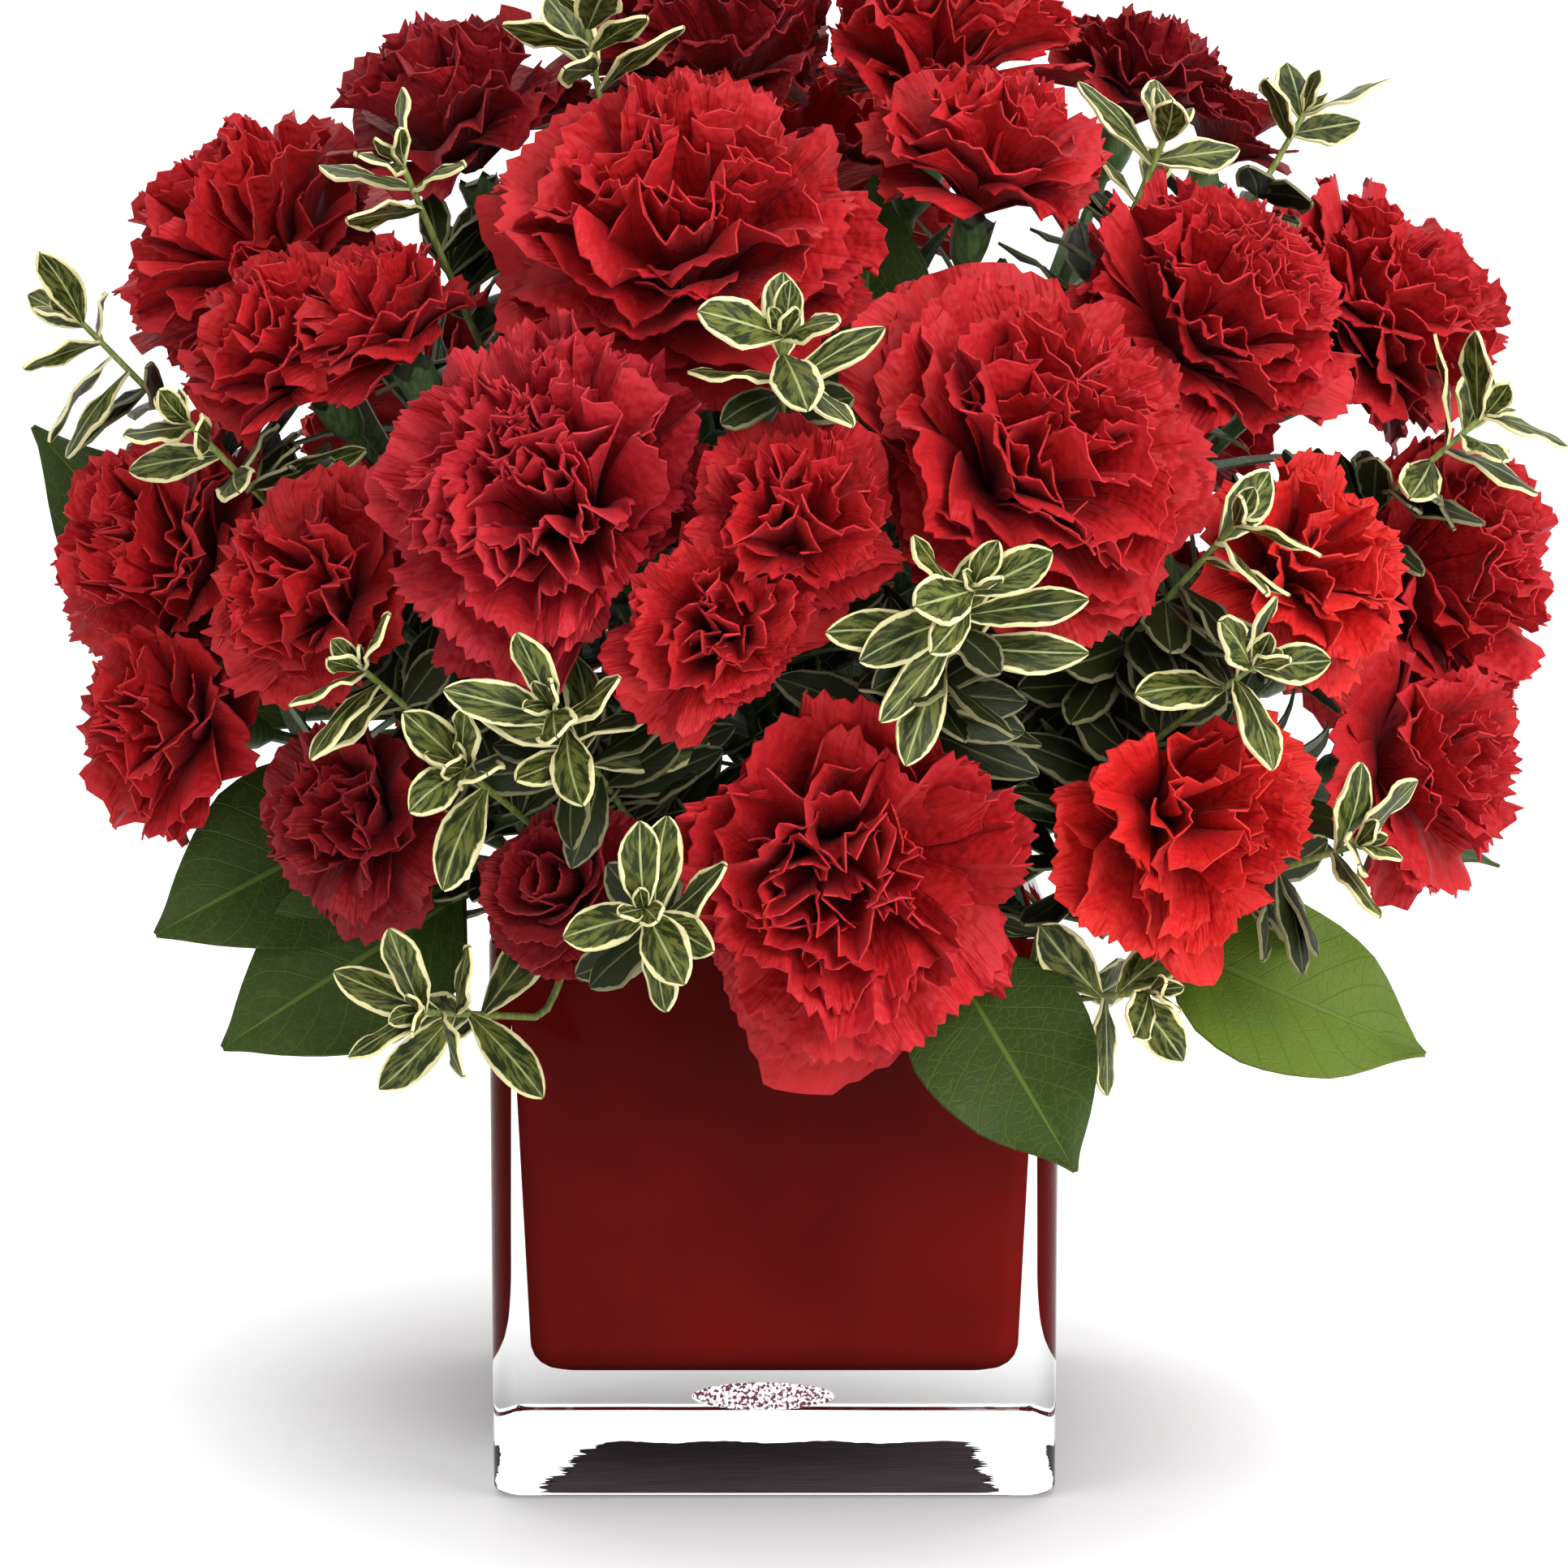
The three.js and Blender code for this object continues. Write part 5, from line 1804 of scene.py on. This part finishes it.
@dataclass
class BroadLeaves:
    """Stems of broad, pointed, leathery leaves."""

    plan: Arrangement
    leaf_finish: Material
    stem_finish: Material
    sheet: Sheet
    stalk: float = 1.2
    thinner: float = 0.8
    tapered: float = 0.5
    into_leaf: float = 3
    thick: float = 0.8
    fold: float = 0.14
    droop: float = 0.06
    ripple: float = 0.012
    groove: float = 0.5
    groove_narrow: float = 9
    grown_tone: float = 0.08
    next_tone: float = 0.12
    young_tones: dict[str, float] = field(default_factory=lambda: {"low_right": 0.9})
    outline: tuple[Pair, ...] = (
        (0, 0.03), (0.04, 0.3), (0.1, 0.6), (0.2, 0.86), (0.32, 0.98), (0.42, 1.0), (0.55, 0.93),
        (0.68, 0.77), (0.8, 0.52), (0.9, 0.25), (0.96, 0.1), (1, 0.015),
    )  # fmt: skip
    waves: tuple[Pair, ...] = (
        (0, 0), (0.12, 0.01), (0.4, -0.015), (0.68, 0.015), (0.88, 0), (1, 0),
    )  # fmt: skip

    def build(self) -> None:
        """Makes every stem of broad leaves."""
        for name, leaves in BROAD_LEAF_STEMS.items():
            self._stem(name, leaves)

    def _stem(self, name: str, leaves: list[BroadLeaf]) -> None:
        """One stem with its leaves on their stalks."""
        starts = [np.array(leaf.start, float) for leaf in leaves]
        root, way, top, reach = self.plan.trunk(starts)
        parts = [stem_along([Knot(root, self.stalk), Knot(top, self.stalk)], self.stem_finish)]
        blades = []
        for i, leaf in enumerate(leaves):
            start = starts[i]
            run = np.array(leaf.tip, float) - start
            along = unit(run)
            fork = self.plan.branch_start(way, reach, i)
            leave, arrive = bent(fork, way, start, along)
            slim = self.stalk * self.thinner
            end = Knot(start + along * self.into_leaf, slim * self.tapered)
            knots = [Knot(fork, slim, after=leave), Knot(start, slim, before=arrive), end]
            parts.append(stem_along(knots, self.stem_finish))
            blades.append(self._blade(leaf, start, along, norm(run)))
        tones = np.full(len(blades), self.grown_tone)
        tones[1:] = self.young_tones.get(name, self.next_tone)
        blade = self.sheet.mesh("blades", np.stack(blades), self.leaf_finish, tones)
        branch = join(f"leaves_{name}", [blade, *parts])
        finish_piece(branch, [f"broad_leaves_{name}"], LEAF_SHARP)

    def _blade(self, leaf: BroadLeaf, start: Array, along: Array, length: float) -> Array:
        """The points of one broad leaf."""
        across = unit(np.cross(np.array(leaf.looks, float), along))
        face = np.cross(along, across)
        places, widths = zip(*self.outline)
        wave_at, wave_by = zip(*self.waves)

        def surface(u: Array, v: Array) -> Array:
            """The leaf's middle surface, grooved along its midrib."""
            wide = leaf.width / 2 * np.interp(v, places, widths)
            wave = np.interp(v, wave_at, wave_by) * length * u
            ripple = self.ripple * length * u**2 * np.sin(v * 17 + u * 2)
            lift = self.fold * np.abs(u) * wide - self.droop * length * v**2 + wave + ripple
            lift = lift - self.groove * np.exp(-((u * self.groove_narrow) ** 2)) * np.sin(math.pi * v)
            spot = start + along * (length * v)[..., None]
            return spot + across * (wide * u)[..., None] + face * lift[..., None]

        return self.sheet.thicken(surface, self.thick)[0]


# The studio


def aim(obj: Object, at: Triple) -> None:
    """Turns a lamp or camera to look at a point."""
    way = Vector(at) - obj.location
    obj.rotation_euler = way.to_track_quat("-Z", "Y").to_euler()


@dataclass
class Studio:
    """White seamless paper, soft light and the camera in front."""

    camera_at: Triple = (0.00217, -1.00425, 0.29298)
    looks_at: Triple = (0.00217, -0.0635, 0.162)
    lens: float = 99.2
    sensor: float = 36
    sees_to: float = 20
    lamps_look_at: Triple = (0.0, 0.0, 0.18)
    paper_gap: float = 0.0004
    paper_size: float = 5
    paper_middle: float = -1.2
    paper_bend: float = 0.7
    paper_wall: float = 2.2
    bend_steps: int = 8

    def build(self) -> None:
        """Lays the paper, hangs the lights and sets the camera."""
        self._paper()
        self._world()
        self._light("window", (0.8, -1.1, 0.9), wide=1.2, watts=27)
        self._light("sky", (0.05, 0.75, 1.7), wide=1.6, watts=14)
        self._camera()

    def _paper(self) -> None:
        """A sheet on the table that curves up behind the vase."""
        deselect()
        middle = (0, self.paper_middle, -self.paper_gap)
        bpy.ops.mesh.primitive_plane_add(size=self.paper_size, location=middle)
        paper = bpy.context.object
        bpy.ops.object.transform_apply(location=True)
        points = paper.data.vertices
        select_parts(paper.data.edges, lambda edge: all(points[v].co.y > 0 for v in edge.vertices))
        bpy.ops.object.mode_set(mode="EDIT")
        bpy.ops.mesh.select_mode(type="EDGE")
        turn, bend = math.pi / 2 / self.bend_steps, self.paper_bend
        for k in range(self.bend_steps):
            low, high = k * turn, (k + 1) * turn
            rise = math.cos(low) - math.cos(high)
            extrude((0, bend * (math.sin(high) - math.sin(low)), bend * rise))
        extrude((0, 0, self.paper_wall))
        bpy.ops.object.mode_set(mode="OBJECT")
        paper.name = "studio_paper"
        paper.data.materials.append(StudioPaper().make())
        select([paper])
        bpy.ops.object.shade_smooth()

    def _world(self) -> None:
        """Even white light from all round."""
        world = bpy.data.worlds.new("studio")
        world.use_nodes = True
        light = world.node_tree.nodes["Background"]
        light.inputs["Color"].default_value = (1, 1, 1, 1)
        light.inputs["Strength"].default_value = 1
        bpy.context.scene.world = world
        bpy.context.scene.view_settings.view_transform = "Standard"

    def _light(self, name: str, at: Triple, wide: float, watts: float) -> None:
        """A square soft light that looks at the bouquet."""
        deselect()
        bpy.ops.object.light_add(type="AREA", location=at)
        lamp = bpy.context.object
        lamp.name = name
        lamp.data.size = wide
        lamp.data.energy = watts
        aim(lamp, self.lamps_look_at)

    def _camera(self) -> None:
        """The camera a little above the vase, looking slightly down."""
        deselect()
        bpy.ops.object.camera_add(location=self.camera_at)
        camera = bpy.context.object
        camera.data.lens = self.lens
        camera.data.sensor_width = self.sensor
        camera.data.clip_end = self.sees_to
        aim(camera, self.looks_at)
        bpy.context.scene.camera = camera


# Besides its own red, each skin's deep red paints the shade at a petal's foot, and its edge red paints the
# highlight at the rim.
PETAL_SKINS = {
    Tint.CRIMSON: PetalVelvet(
        "petal_crimson", deep=(0.25, 0.003, 0.005), body=(0.39, 0.007, 0.01), edge=(0.45, 0.014, 0.02)
    ),
    Tint.PINK: PetalVelvet(
        "petal_pink_crimson", deep=(0.24, 0.003, 0.008), body=(0.37, 0.009, 0.016), edge=(0.46, 0.023, 0.036)
    ),
    Tint.SCARLET: PetalVelvet(
        "petal_scarlet", deep=(0.32, 0.003, 0.004), body=(0.54, 0.009, 0.009), edge=(0.6, 0.027, 0.02)
    ),
    # The maroon is a dark red of its own, made darker still as painted shade for the shaded blooms at the
    # top.
    Tint.MAROON: PetalVelvet(
        "petal_maroon", deep=(0.1, 0.0015, 0.003), body=(0.2, 0.003, 0.006), edge=(0.25, 0.007, 0.012)
    ),
}


def main() -> None:
    """Builds the vase, stems, leaves and blooms, then the studio round them."""
    Vase().build()
    plan = Arrangement()
    stem_skin = StemSkin("stem", (0.04, 0.08, 0.02), (0.085, 0.14, 0.045)).make()
    shoot_skin = StemSkin("pale_stem", (0.13, 0.17, 0.03), (0.24, 0.28, 0.07)).make()
    Stems(plan, stem_skin, Sheet(2, 8)).build()
    LeafyShoots(plan, CreamEdgedLeaf().make(), shoot_skin, Sheet(6, 10), Sheet(4, 6)).build()
    BroadLeaves(plan, BroadLeafSkin().make(), stem_skin, Sheet(12, 16)).build()
    sheets = {Kind.STANDARD: Sheet(30, 5), Kind.SPRAY: Sheet(20, 5)}
    finishes = {tint: skin.make() for tint, skin in PETAL_SKINS.items()}
    clustered = [name for names in CLUSTERS for name in names]
    for names in [*([h.name] for h in plan.heads if h.name not in clustered), *CLUSTERS]:
        Bloom(names[0], [HEADS[n] for n in names]).build(sheets, finishes)
    Studio().build()


if __name__ == "__main__":
    main()
